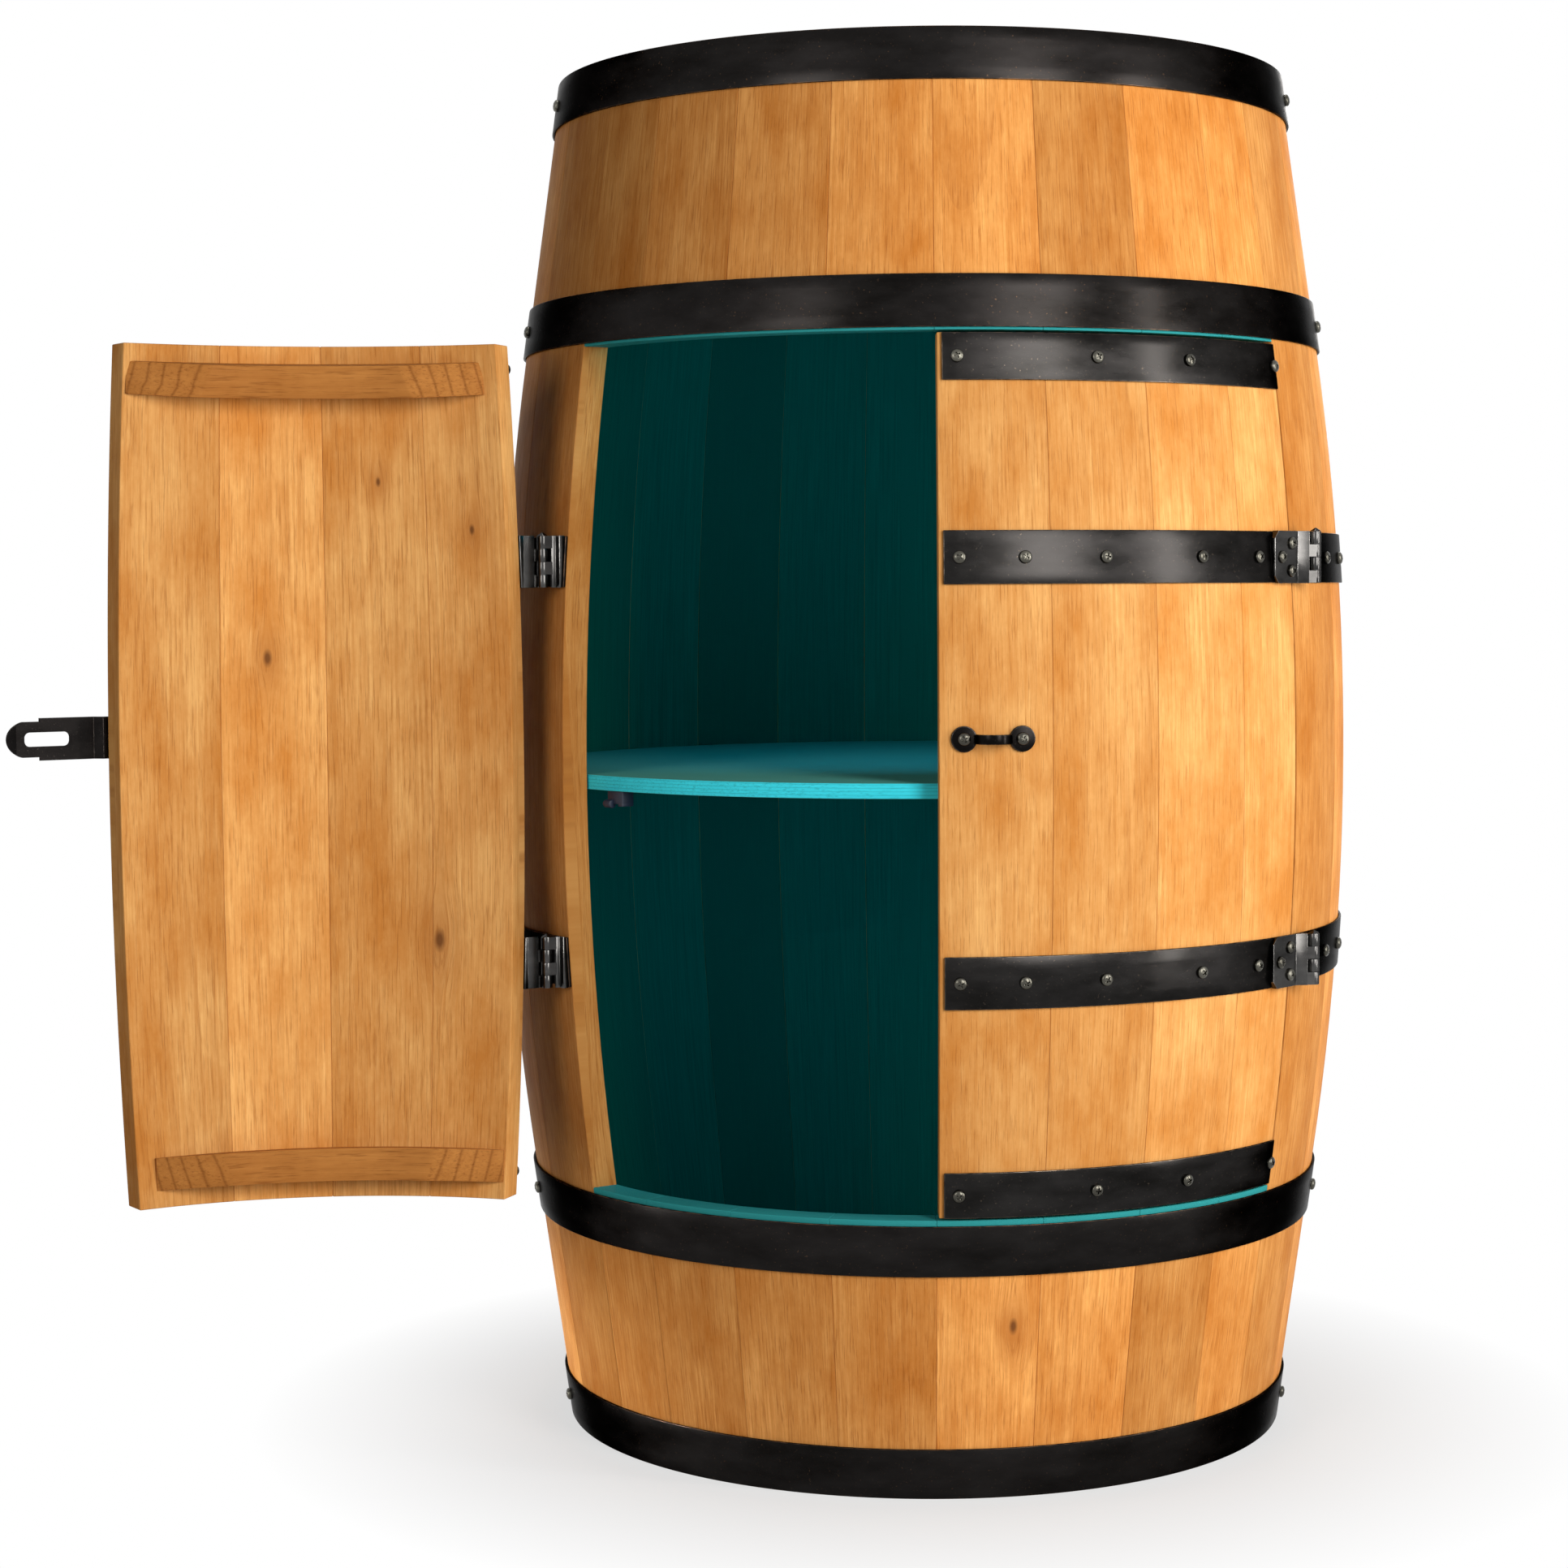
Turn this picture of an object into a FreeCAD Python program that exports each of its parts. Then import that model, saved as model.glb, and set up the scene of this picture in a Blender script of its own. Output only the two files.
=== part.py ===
import FreeCAD, Part
import math
import os

os.makedirs("parts", exist_ok=True)

# Barrel bar cabinet, in millimetres. The origin is on the barrel's axis at the floor, +Z is up
# and the doorway faces -Y. An azimuth is an angle about +Z, in degrees, from -Y towards +X.
# A surface's offset is its distance outside the outer face of the wood.

# Barrel wood
barrel_height = 800.0
bilge_radius = 254.3
bend_radius = 1700.0
bent_half = 236.5
stave_thick = 16.0
rear_staves = 17
front_stave_angle = 14.2
jamb_stave_angle = 11.8
front_staves_per_side = 4

# Hoops and door bands
hoop_width = 28.6
hoop_thick = 1.5
hoop_fit = 0.3
upper_quarter_z = 652.7
upper_bilge_z = 516.2
lower_bilge_z = 289.4
lower_quarter_z = 141.5
end_band_width = 25.4
band_free_inset = 2.7
band_hinge_inset = 0.9

# Doorway and doors
lintel_lip = 1.5
sill_lip = 3.0
door_end_gap = 1.4
meeting_gap = 2.7
jamb_gap = 1.3
left_door_opening = 145.0

# Heads, each held by a tongue in a groove around the staves
head_thick = 16.0
head_tongue = 6.0
groove_depth = 5.0
head_fit = 0.3
top_head_recess = 20.0
bottom_head_recess = 14.0
head_boards = 6

# Shelf and its cleats
shelf_top_z = 395.7
shelf_thick = 8.5
shelf_gap = 1.0
cleat_depth = 12.0
cleat_height = 18.0
cleat_length = 40.0
cleat_azimuths = (75.0, 140.0)
wall_seat = 0.05

# Door ribs
rib_thick = 18.0
rib_depth = 17.0
rib_from_end = 18.5
rib_tip_depth = 9.0
rib_taper = 26.0
top_rib_insets = (1.8, 9.3)
bottom_rib_insets = (12.0, 1.3)

# Pan-head screws with a cross recess
screw_head_radius = 3.5
screw_head_height = 2.6
screw_head_rim = 0.9
screw_shank_radius = 1.75
screw_length = 13.0
screw_tip = 3.0
screw_clearance = 0.1
screw_seat = 0.05
recess_length = 3.9
recess_width = 0.9
recess_depth = 1.4

# Screws, the same on both sides
free_screw_inset = 11.2
hinge_screw_inset = 4.0
joint_screw_inset = 14.8
full_hoop_screw_setback = 109.3
open_hoop_screw_setbacks = (50.2, 89.3)
rear_screw_azimuth = 150.0

# Door hinges
hinge_length = 29.2
hinge_segments = 4
knuckle_radius = 3.1
hinge_pin_radius = 1.5
pin_fit = 0.03
knuckle_gap = 0.3
hinge_stand = 8.0
hinge_setback = 8.0
pin_cap_height = 1.8
hinge_leaf_thick = 1.3
leaf_seat = 0.05
leaf_embed = 6.0
flange_edge_gap = 0.8
web_clear = 1.0
leaf_edge_gap = 0.5
ramp_solid = 4.8
door_leaf_width = 24.6
leaf_corner = 4.0
leaf_screw_inset = 6.9
leaf_screw_spacing = 15.4
leaf_edge_screw_inset = 7.3

# Hasp on the left door
hasp_z = 420.0
hasp_height = 23.4
hasp_setback = 12.0
hasp_leaf_length = 22.0
hasp_knuckle_radius = 2.6
hasp_pin_radius = 1.2
hasp_segments = 5
hasp_thick = 1.5
hasp_clear = 0.3
hasp_screw_setback = 16.0
hasp_screw_spacing = 12.0
strap_bend = 1.2
strap_ramp = 4.0
strap_clear = 0.1
strap_step = 36.5
strap_step_in = 1.9
strap_length = 55.0
strap_tip_length = 8.0
strap_curl = 5.0
strap_curl_rise = 2.6
slot_gap_near = 0.9
slot_gap_far = 5.1
slot_gap_side = 1.3
slot_corner = 3.0

# Staple on the right door
staple_azimuth = 6.8
staple_foot_radius = 7.0
staple_foot_overlap = 1.35
staple_thick = 1.6
staple_span = 20.0
staple_rise = 12.0
staple_width = 5.2

# Light strip and its control box
strip_width = 10.0
strip_thick = 2.5
strip_above_lintel = 8.5
strip_end_inset = 19.5
receiver_inset = 24.0
receiver_size = (14.0, 8.0, 7.4)
receiver_foot = (4.5, 1.3)
receiver_eye_radius = 2.4
receiver_eye_length = 7.5
receiver_eye_overhang = 2.4
receiver_setback = 2.5

# Worked out from the sizes above
middle_z = barrel_height / 2
bend_angle = math.asin(bent_half / bend_radius)
hoop_out = hoop_fit + hoop_thick
lintel_z = upper_quarter_z - hoop_width / 2 - lintel_lip
sill_z = lower_quarter_z + hoop_width / 2 + sill_lip
door_top = lintel_z - door_end_gap
door_bottom = sill_z + door_end_gap
shelf_bottom = shelf_top_z - shelf_thick
doorway_half_angle = (front_staves_per_side - 1) * front_stave_angle + jamb_stave_angle
ramp_length = hinge_setback + jamb_gap + leaf_edge_gap
ramp_slot = ramp_length - ramp_solid
flange_end = hinge_setback - flange_edge_gap

up = FreeCAD.Vector(0, 0, 1)
origin = FreeCAD.Vector(0, 0, 0)
parts = {}


def arc_angle(length):
    return math.degrees(length / bilge_radius)


free_edge = arc_angle(meeting_gap / 2)
hinge_edge = doorway_half_angle - arc_angle(jamb_gap)
pin_azimuth = doorway_half_angle + arc_angle(hinge_setback)
stave_joints = [index * front_stave_angle for index in range(1, front_staves_per_side)]


# The barrel's outline: an arc over the bent part and straight, tangent ends.

def skin(z, off):
    radius = bend_radius + off
    reach = radius * math.sin(bend_angle)
    height = abs(z - middle_z)
    centre = bilge_radius - bend_radius
    if height <= reach:
        return centre + math.sqrt(radius ** 2 - height ** 2)
    return centre + radius * math.cos(bend_angle) - (height - reach) * math.tan(bend_angle)


def lean(z, off):
    height = z - middle_z
    reach = (bend_radius + off) * math.sin(bend_angle)
    if abs(height) > reach:
        return math.copysign(bend_angle, height)
    return math.asin(height / (bend_radius + off))


def widest(low, high, off):
    return skin(min(max(middle_z, low), high), off)


def spot(azimuth, radius, z):
    angle = math.radians(azimuth)
    return FreeCAD.Vector(radius * math.sin(angle), -radius * math.cos(angle), z)


def skin_edges(off, low, high):
    reach = (bend_radius + off) * math.sin(bend_angle)
    inner = [z for z in (middle_z - reach, middle_z + reach) if low < z < high]
    heights = [low] + inner + [high]
    edges = []
    for start, end in zip(heights, heights[1:]):
        centre = (start + end) / 2
        first = spot(0, skin(start, off), start)
        last = spot(0, skin(end, off), end)
        if abs(centre - middle_z) > reach:
            edges.append(Part.LineSegment(first, last).toShape())
        else:
            edges.append(Part.Arc(first, spot(0, skin(centre, off), centre), last).toShape())
    return edges


def shell(inside, outside, low, high, start=0.0, end=360.0):
    inner = skin_edges(inside, low, high)
    outer = skin_edges(outside, low, high)
    bottom = Part.LineSegment(spot(0, skin(low, inside), low), spot(0, skin(low, outside), low))
    top = Part.LineSegment(spot(0, skin(high, inside), high), spot(0, skin(high, outside), high))
    wire = Part.Wire(Part.__sortEdges__(inner + outer + [bottom.toShape(), top.toShape()]))
    face = Part.Face(wire)
    face.rotate(origin, up, start)
    return face.revolve(origin, up, end - start)


def disc(radius, low, thick):
    return Part.makeCylinder(radius, thick, FreeCAD.Vector(0, 0, low))


def prism(points, height):
    return Part.Face(Part.makePolygon(points + points[:1])).extrude(up * height)


def near(tools, shape):
    return [tool for tool in tools if tool.BoundBox.intersect(shape.BoundBox)]


def drilled(shape, tools):
    tools = near(tools, shape)
    return shape.cut(tools) if tools else shape


def add(name, *shapes):
    solids = [solid for shape in shapes for solid in shape.Solids]
    parts[name] = solids[0] if len(solids) == 1 else Part.makeCompound(solids)


# Screws. Each is made once at the origin with its head up and then set on a surface.

def make_screw():
    tip = FreeCAD.Vector(0, 0, -screw_length)
    shoulder = FreeCAD.Vector(screw_shank_radius, 0, screw_tip - screw_length)
    neck = FreeCAD.Vector(screw_shank_radius, 0, 0)
    under = FreeCAD.Vector(screw_head_radius, 0, 0)
    rim = FreeCAD.Vector(screw_head_radius, 0, screw_head_rim)
    crown = FreeCAD.Vector(0, 0, screw_head_height)
    dome = screw_head_height - screw_head_rim
    diagonal = math.sqrt(0.5)
    middle = FreeCAD.Vector(screw_head_radius * diagonal, 0, screw_head_rim + dome * diagonal)
    lines = [tip, shoulder, neck, under, rim]
    edges = [Part.LineSegment(a, b).toShape() for a, b in zip(lines, lines[1:])]
    edges.append(Part.Arc(rim, middle, crown).toShape())
    edges.append(Part.LineSegment(crown, tip).toShape())
    screw = Part.Face(Part.Wire(edges)).revolve(origin, up, 360)
    floor = screw_head_height - recess_depth
    arms = []
    for long, wide in ((recess_length, recess_width), (recess_width, recess_length)):
        corner = FreeCAD.Vector(-long / 2, -wide / 2, floor)
        arms.append(Part.makeBox(long, wide, screw_head_height, corner))
    return screw.cut(arms)


def make_drill():
    radius = screw_shank_radius + screw_clearance
    depth = screw_length + screw_clearance
    return Part.makeCylinder(radius, depth + screw_head_height, FreeCAD.Vector(0, 0, -depth))


screw_shape = make_screw()
drill_shape = make_drill()


def seat_on_skin(azimuth, z, off):
    slope = lean(z, off)
    normal = spot(azimuth, math.cos(slope), 0) + up * math.sin(slope)
    return spot(azimuth, skin(z, off), z) + normal * screw_seat, normal


def put(shape, seat):
    point, normal = seat
    placed = shape.copy()
    placed.Placement = FreeCAD.Placement(point, FreeCAD.Rotation(up, normal))
    return placed


def screws_at(seats):
    return [put(screw_shape, seat) for seat in seats]


def drills_at(seats):
    return [put(drill_shape, seat) for seat in seats]


# Hoops

full_hoops = {
    "top_chime_hoop": barrel_height - hoop_width / 2,
    "upper_quarter_hoop": upper_quarter_z,
    "lower_quarter_hoop": lower_quarter_z,
    "bottom_chime_hoop": hoop_width / 2,
}
open_hoops = {"upper_bilge_hoop": upper_bilge_z, "lower_bilge_hoop": lower_bilge_z}


def hoop_screw_seats():
    seats = []
    for hoops, setbacks in (
        (full_hoops, (full_hoop_screw_setback,)),
        (open_hoops, open_hoop_screw_setbacks),
    ):
        azimuths = [doorway_half_angle + arc_angle(setback) for setback in setbacks]
        azimuths.append(rear_screw_azimuth)
        for z in hoops.values():
            for azimuth in azimuths:
                seats += [seat_on_skin(side * azimuth, z, hoop_out) for side in (-1, 1)]
    return seats


def make_hoops(drills):
    for hoops, start in ((full_hoops, 0.0), (open_hoops, doorway_half_angle)):
        for name, z in hoops.items():
            low = z - hoop_width / 2
            hoop = shell(hoop_fit, hoop_out, low, low + hoop_width, start, 360 - start)
            add(name, drilled(hoop, drills))


# Barrel staves, grooved near both ends for the heads

top_head_z = barrel_height - top_head_recess - head_thick
bottom_head_z = bottom_head_recess


def groove(head_z):
    low = head_z + (head_thick - head_tongue) / 2
    radius = skin(low + head_tongue / 2, -stave_thick) + groove_depth
    return disc(radius, low, head_tongue)


def front_staves(low, high, first, last, sides):
    staves = []
    for side in sides:
        bounds = [side * angle for angle in [first] + stave_joints + [last]]
        for pair in zip(bounds, bounds[1:]):
            staves.append(shell(-stave_thick, 0, low, high, min(pair), max(pair)))
    return staves


def make_barrel_staves(drills):
    grooves = [groove(top_head_z), groove(bottom_head_z)]
    step = (360 - 2 * doorway_half_angle) / rear_staves
    for index in range(rear_staves):
        start = doorway_half_angle + index * step
        stave = shell(-stave_thick, 0, 0, barrel_height, start, start + step)
        add(f"stave_{index + 1:02d}", drilled(stave.cut(grooves), drills))
    half = doorway_half_angle
    for name, low, high in (
        ("upper_front_staves", lintel_z, barrel_height),
        ("lower_front_staves", 0, sill_z),
    ):
        staves = front_staves(low, high, 0, half, (-1, 1))
        add(name, *[drilled(drilled(stave, grooves), drills) for stave in staves])


# Heads, of boards that run front to back

def make_head(name, head_z):
    top = head_z + head_thick
    radius = min(skin(head_z, -stave_thick), skin(top, -stave_thick)) - head_fit
    low = head_z + (head_thick - head_tongue) / 2
    reach = skin(low + head_tongue / 2, -stave_thick) + groove_depth - head_fit
    blank = disc(radius, head_z, head_thick).fuse(disc(reach, low, head_tongue))
    width = 2 * reach / head_boards
    boards = []
    for index in range(head_boards):
        corner = FreeCAD.Vector(index * width - reach, -reach, head_z)
        boards.append(blank.common(Part.makeBox(width, 2 * reach, head_thick, corner)))
    add(name, *boards)


# Shelf and cleats

def make_shelf():
    radius = widest(shelf_bottom, shelf_top_z, -stave_thick) - shelf_gap
    add("middle_shelf", disc(radius, shelf_bottom, shelf_thick))
    half = arc_angle(cleat_length / 2)
    inside = -stave_thick - cleat_depth
    cleats = []
    for azimuth in cleat_azimuths:
        for centre in (azimuth, 360 - azimuth):
            cleats.append(shell(inside, -stave_thick - wall_seat, shelf_bottom - cleat_height,
                                shelf_bottom, centre - half, centre + half))
    add("shelf_supports", *cleats)


# Light strip inside the lintel, and its control box under the shelf

def make_lights():
    low = lintel_z + strip_above_lintel
    outside = -stave_thick - wall_seat
    half = doorway_half_angle - arc_angle(strip_end_inset)
    add("led_strip", shell(outside - strip_thick, outside, low, low + strip_width, -half, half))
    wide, deep, high = receiver_size
    foot_wide, foot_high = receiver_foot
    front = widest(shelf_bottom, shelf_top_z, -stave_thick) - shelf_gap - receiver_setback
    low = shelf_bottom - high
    box = Part.makeBox(wide, deep, high, FreeCAD.Vector(-wide / 2, -front, low))
    foot = Part.makeBox(foot_wide, deep, foot_high,
                        FreeCAD.Vector(wide / 2 - foot_wide, -front, low - foot_high))
    eye = Part.makeCylinder(receiver_eye_radius, receiver_eye_length,
                            FreeCAD.Vector(-wide / 2 - receiver_eye_overhang, -front, low),
                            FreeCAD.Vector(1, 0, 0))
    receiver = box.fuse([foot, eye])
    receiver.rotate(origin, up, arc_angle(receiver_inset) - doorway_half_angle)
    add("led_receiver", receiver)


# Hinges. Plan points are taken from the pin: t towards the doorway and n outwards.

hinge_reach = max(widest(z - hinge_length / 2, z + hinge_length / 2, hoop_out)
                  for z in open_hoops.values())
pin_reach = hinge_reach + hinge_stand
leaf_top = hinge_reach + leaf_seat + hinge_leaf_thick - pin_reach
segment_height = hinge_length / hinge_segments


def hinge_spot(side, t, n, z):
    along = spot(side * pin_azimuth + 90, 1, 0) * -side
    return spot(side * pin_azimuth, pin_reach + n, z) + along * t


def hinge_prism(side, points, low, height):
    return prism([hinge_spot(side, t, n, low) for t, n in points], height)


def hinge_column(side, radius, low, height):
    return Part.makeCylinder(radius, height, hinge_spot(side, 0, 0, low))


def tangent_spots(t, n):
    # The line from (t, n) that touches the knuckle from above, and its lower edge.
    distance = math.hypot(t, n)
    angle = math.atan2(n, t) + math.acos(knuckle_radius / distance)
    away = (math.cos(angle), math.sin(angle))
    touch = (knuckle_radius * away[0], knuckle_radius * away[1])
    thick = hinge_leaf_thick
    under = (touch[0] - thick * away[0], touch[1] - thick * away[1])
    bend = (t - thick * away[0], n - thick * away[1])
    return touch, under, bend


def hinge_leaf(side, z, outline, other_segments, slot_reach, slot_floor):
    low = z - hinge_length / 2
    blank = hinge_prism(side, outline, low, hinge_length)
    blank = blank.fuse(hinge_column(side, knuckle_radius, low, hinge_length))
    around = 2 * arc_angle(ramp_length + door_leaf_width)
    seat = shell(-stave_thick, hoop_out + leaf_seat, low - 1, low + hinge_length + 1,
                 side * pin_azimuth - around, side * pin_azimuth + around)
    cuts = [hinge_column(side, hinge_pin_radius + pin_fit, low, hinge_length), seat]
    wide = 2 * knuckle_radius
    box = [(-wide, slot_floor), (slot_reach, slot_floor), (slot_reach, wide), (-wide, wide)]
    for index in other_segments:
        bottom = low + hinge_length - (index + 1) * segment_height - knuckle_gap / 2
        cuts.append(hinge_prism(side, box, bottom, segment_height + knuckle_gap))
    return blank.cut(cuts)


def barrel_leaf(side, z):
    # A flange on the hoop's end and a web that stands up beside the knuckles.
    deep = leaf_top - leaf_embed
    web = knuckle_radius - hinge_leaf_thick
    outline = [(web, 0), (knuckle_radius, 0), (knuckle_radius, leaf_top), (flange_end, leaf_top),
               (flange_end, deep), (web, deep)]
    return hinge_leaf(side, z, outline, range(1, hinge_segments, 2), 2 * knuckle_radius,
                      -knuckle_radius - web_clear)


def door_leaf_frame():
    # The flat of the door leaf touches the band at its own middle.
    middle = (ramp_length + door_leaf_width / 2) / pin_reach
    along = (math.cos(middle), -math.sin(middle))
    inward = (-math.sin(middle), -math.cos(middle))
    reach = hinge_reach + leaf_seat + hinge_leaf_thick
    centre = (-inward[0] * reach, -inward[1] * reach - pin_reach)
    half = door_leaf_width / 2
    near_end = (centre[0] - along[0] * half, centre[1] - along[1] * half)
    far_end = (centre[0] + along[0] * half, centre[1] + along[1] * half)
    return near_end, far_end, inward


def door_leaf(side, z, drills):
    near_end, far_end, inward = door_leaf_frame()
    touch, under, bend = tangent_spots(*near_end)
    deep_far = (far_end[0] + inward[0] * leaf_embed, far_end[1] + inward[1] * leaf_embed)
    deep_near = (near_end[0] + inward[0] * leaf_embed, near_end[1] + inward[1] * leaf_embed)
    outline = [touch, near_end, far_end, deep_far, deep_near, bend, under]
    leaf = hinge_leaf(side, z, outline, range(0, hinge_segments, 2), ramp_slot, -2 * knuckle_radius)
    clip = leaf_corner
    outer = far_end[0] + 1
    for edge, inside in ((z + hinge_length / 2, -1), (z - hinge_length / 2, 1)):
        corner = [(outer - clip - 1, edge), (outer, edge), (outer, edge + inside * (clip + 1))]
        points = [hinge_spot(side, t, leaf_embed, level) for t, level in corner]
        inwards = spot(side * pin_azimuth, 1, 0) * -4 * leaf_embed
        leaf = leaf.cut(Part.Face(Part.makePolygon(points + points[:1])).extrude(inwards))
    return drilled(leaf, drills)


def leaf_screw_seats(side):
    near_end, far_end, inward = door_leaf_frame()
    outer = leaf_screw_inset / door_leaf_width
    inner = 1 - leaf_edge_screw_inset / door_leaf_width
    normal = hinge_spot(side, -inward[0], -inward[1], 0) - hinge_spot(side, 0, 0, 0)
    seats = []
    for z in open_hoops.values():
        spread = leaf_screw_spacing / 2
        for share, rise in ((outer, 0), (inner, spread), (inner, -spread)):
            t = far_end[0] + (near_end[0] - far_end[0]) * share
            n = far_end[1] + (near_end[1] - far_end[1]) * share
            seats.append((hinge_spot(side, t, n, z + rise) + normal * screw_seat, normal))
    return seats


def make_hinge_pins(name, side):
    pins = []
    for z in open_hoops.values():
        low = z - hinge_length / 2
        pin = hinge_column(side, hinge_pin_radius, low, hinge_length)
        cap = Part.makeCone(knuckle_radius, hinge_pin_radius / 4, pin_cap_height,
                            hinge_spot(side, 0, 0, low + hinge_length))
        pins.append(pin.fuse(cap))
    add(name, *pins)


# Hasp. Plan points are taken from the middle of the doorway: s towards +X and n outwards.

hasp_low = hasp_z - hasp_height / 2
hasp_reach = widest(hasp_low, hasp_low + hasp_height, 0)
hasp_axis_drop = hasp_reach - math.sqrt(hasp_reach ** 2 - hasp_setback ** 2)
hasp_axis = hasp_clear + hasp_knuckle_radius - hasp_axis_drop
hasp_segment = hasp_height / hasp_segments
strap_level = leaf_seat + staple_thick + screw_seat + screw_head_height + strap_clear


def hasp_spot(s, n, z):
    return FreeCAD.Vector(s, -hasp_reach - n, z)


def hasp_column(radius):
    return Part.makeCylinder(radius, hasp_height, hasp_spot(-hasp_setback, hasp_axis, hasp_low))


def hasp_slots(others, start, end):
    rows = []
    for index in others:
        low = hasp_low + index * hasp_segment - knuckle_gap / 2
        corners = [(start, -3 * hasp_thick), (end, -3 * hasp_thick),
                   (end, 4 * hasp_knuckle_radius), (start, 4 * hasp_knuckle_radius)]
        rows.append(prism([hasp_spot(s, n, low) for s, n in corners], hasp_segment + knuckle_gap))
    return rows


def thicken(line, thick):
    # The line with a parallel one on its left, as a closed outline.
    normals = []
    for (x0, y0), (x1, y1) in zip(line, line[1:]):
        length = math.hypot(x1 - x0, y1 - y0)
        normals.append(((y0 - y1) / length, (x1 - x0) / length))
    offset = []
    for index, (x, y) in enumerate(line):
        before = normals[max(index - 1, 0)]
        after = normals[min(index, len(normals) - 1)]
        scale = thick / (1 + before[0] * after[0] + before[1] * after[1])
        offset.append((x + (before[0] + after[0]) * scale, y + (before[1] + after[1]) * scale))
    return line + offset[::-1]


def hasp_screw_seats():
    azimuth = -math.degrees(math.asin((hasp_setback + hasp_screw_setback) / hasp_reach))
    off = leaf_seat + hasp_thick
    return [seat_on_skin(azimuth, hasp_z + rise, off)
            for rise in (-hasp_screw_spacing / 2, hasp_screw_spacing / 2)]


def make_hasp_leaf(drills):
    start = -math.degrees(math.asin((hasp_setback + hasp_leaf_length) / hasp_reach))
    end = -math.degrees(math.asin(hasp_setback / hasp_reach))
    plate = shell(leaf_seat, leaf_seat + hasp_thick, hasp_low, hasp_low + hasp_height, start, end)
    leaf = plate.fuse(hasp_column(hasp_knuckle_radius))
    slot_end = -hasp_setback - hasp_knuckle_radius - hasp_clear
    cuts = hasp_slots(range(1, hasp_segments, 2), slot_end, 0)
    cuts.append(hasp_column(hasp_pin_radius + pin_fit))
    top = hasp_low + hasp_height
    cuts.append(shell(-stave_thick, leaf_seat, hasp_low - 1, top + 1, start - 1, 0))
    return drilled(leaf.cut(cuts), drills)


def strap_outline():
    # Seen from the front: the wide part, the narrow part and its round end.
    wide = hasp_height / 2
    narrow = wide - strap_step_in
    start = -hasp_setback - hasp_knuckle_radius
    end = strap_length - strap_tip_length
    lower = [(start, -wide), (strap_step, -wide), (strap_step, -narrow), (end, -narrow)]
    upper = [(s, -rise) for s, rise in lower[::-1]]

    def at(s, rise):
        return hasp_spot(s, -4 * hasp_thick, hasp_z + rise)

    edges = [Part.LineSegment(at(*a), at(*b)).toShape() for a, b in zip(lower, lower[1:])]
    edges.append(Part.Arc(at(*lower[-1]), at(strap_length, 0), at(*upper[0])).toShape())
    edges += [Part.LineSegment(at(*a), at(*b)).toShape() for a, b in zip(upper, upper[1:])]
    edges.append(Part.LineSegment(at(*upper[-1]), at(*lower[0])).toShape())
    return Part.Face(Part.Wire(edges)).extrude(FreeCAD.Vector(0, -10 * hasp_thick, 0))


def strap_slot():
    # The staple goes through it, with room at the far end for the door's swing.
    staple_s = skin(hasp_z, 0) * math.sin(math.radians(staple_azimuth))
    start = staple_s - staple_span / 2 - slot_gap_near
    length = staple_span + slot_gap_near + slot_gap_far
    height = staple_width + 2 * slot_gap_side
    corner = hasp_spot(start, 6 * hasp_thick, hasp_z - height / 2)
    box = Part.makeBox(length, 10 * hasp_thick, height, corner)
    upright = [edge for edge in box.Edges if edge.BoundBox.YLength > hasp_thick]
    return box.makeFillet(slot_corner, upright)


def make_strap():
    bend_end = strap_bend + strap_ramp
    curl_start = strap_length - strap_curl
    line = [(-hasp_setback, hasp_clear), (strap_bend, hasp_clear), (bend_end, strap_level),
            (curl_start, strap_level), (strap_length, strap_level + strap_curl_rise)]
    plate = prism([hasp_spot(s, n, hasp_low) for s, n in thicken(line, hasp_thick)], hasp_height)
    strap = plate.common(strap_outline()).cut(strap_slot())
    strap = strap.fuse(hasp_column(hasp_knuckle_radius))
    slot_end = -hasp_setback + hasp_knuckle_radius + hasp_clear
    cuts = hasp_slots(range(0, hasp_segments, 2), -2 * hasp_setback, slot_end)
    return strap.cut(cuts + [hasp_column(hasp_pin_radius + pin_fit)])


# Staple

def staple_foot_azimuths():
    reach = staple_span / 2 + staple_foot_radius - staple_foot_overlap
    half = math.degrees(reach / skin(hasp_z, 0))
    return (staple_azimuth - half, staple_azimuth + half)


def staple_screw_seats():
    off = leaf_seat + staple_thick
    return [seat_on_skin(azimuth, hasp_z, off) for azimuth in staple_foot_azimuths()]


def make_staple(drills):
    half = staple_span / 2
    inner = half - staple_thick
    leg = staple_rise - half
    root = staple_thick / 2
    reach = skin(hasp_z, 0)

    def at(s, n):
        return FreeCAD.Vector(s, -reach - n, hasp_z - staple_width / 2)

    edges = [
        Part.LineSegment(at(-half, root), at(-half, leg)).toShape(),
        Part.Arc(at(-half, leg), at(0, staple_rise), at(half, leg)).toShape(),
        Part.LineSegment(at(half, leg), at(half, root)).toShape(),
        Part.LineSegment(at(half, root), at(inner, root)).toShape(),
        Part.LineSegment(at(inner, root), at(inner, leg)).toShape(),
        Part.Arc(at(inner, leg), at(0, staple_rise - staple_thick), at(-inner, leg)).toShape(),
        Part.LineSegment(at(-inner, leg), at(-inner, root)).toShape(),
        Part.LineSegment(at(-inner, root), at(-half, root)).toShape(),
    ]
    bridge = Part.Face(Part.Wire(edges)).extrude(up * staple_width)
    bridge.rotate(origin, up, staple_azimuth)
    foot = disc(staple_foot_radius, 0, staple_thick)
    feet = [put(foot, seat_on_skin(azimuth, hasp_z, 0)) for azimuth in staple_foot_azimuths()]
    return drilled(bridge.fuse(feet), drills)


# Doors, made closed. The left one is then swung open about its hinge pins.

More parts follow.
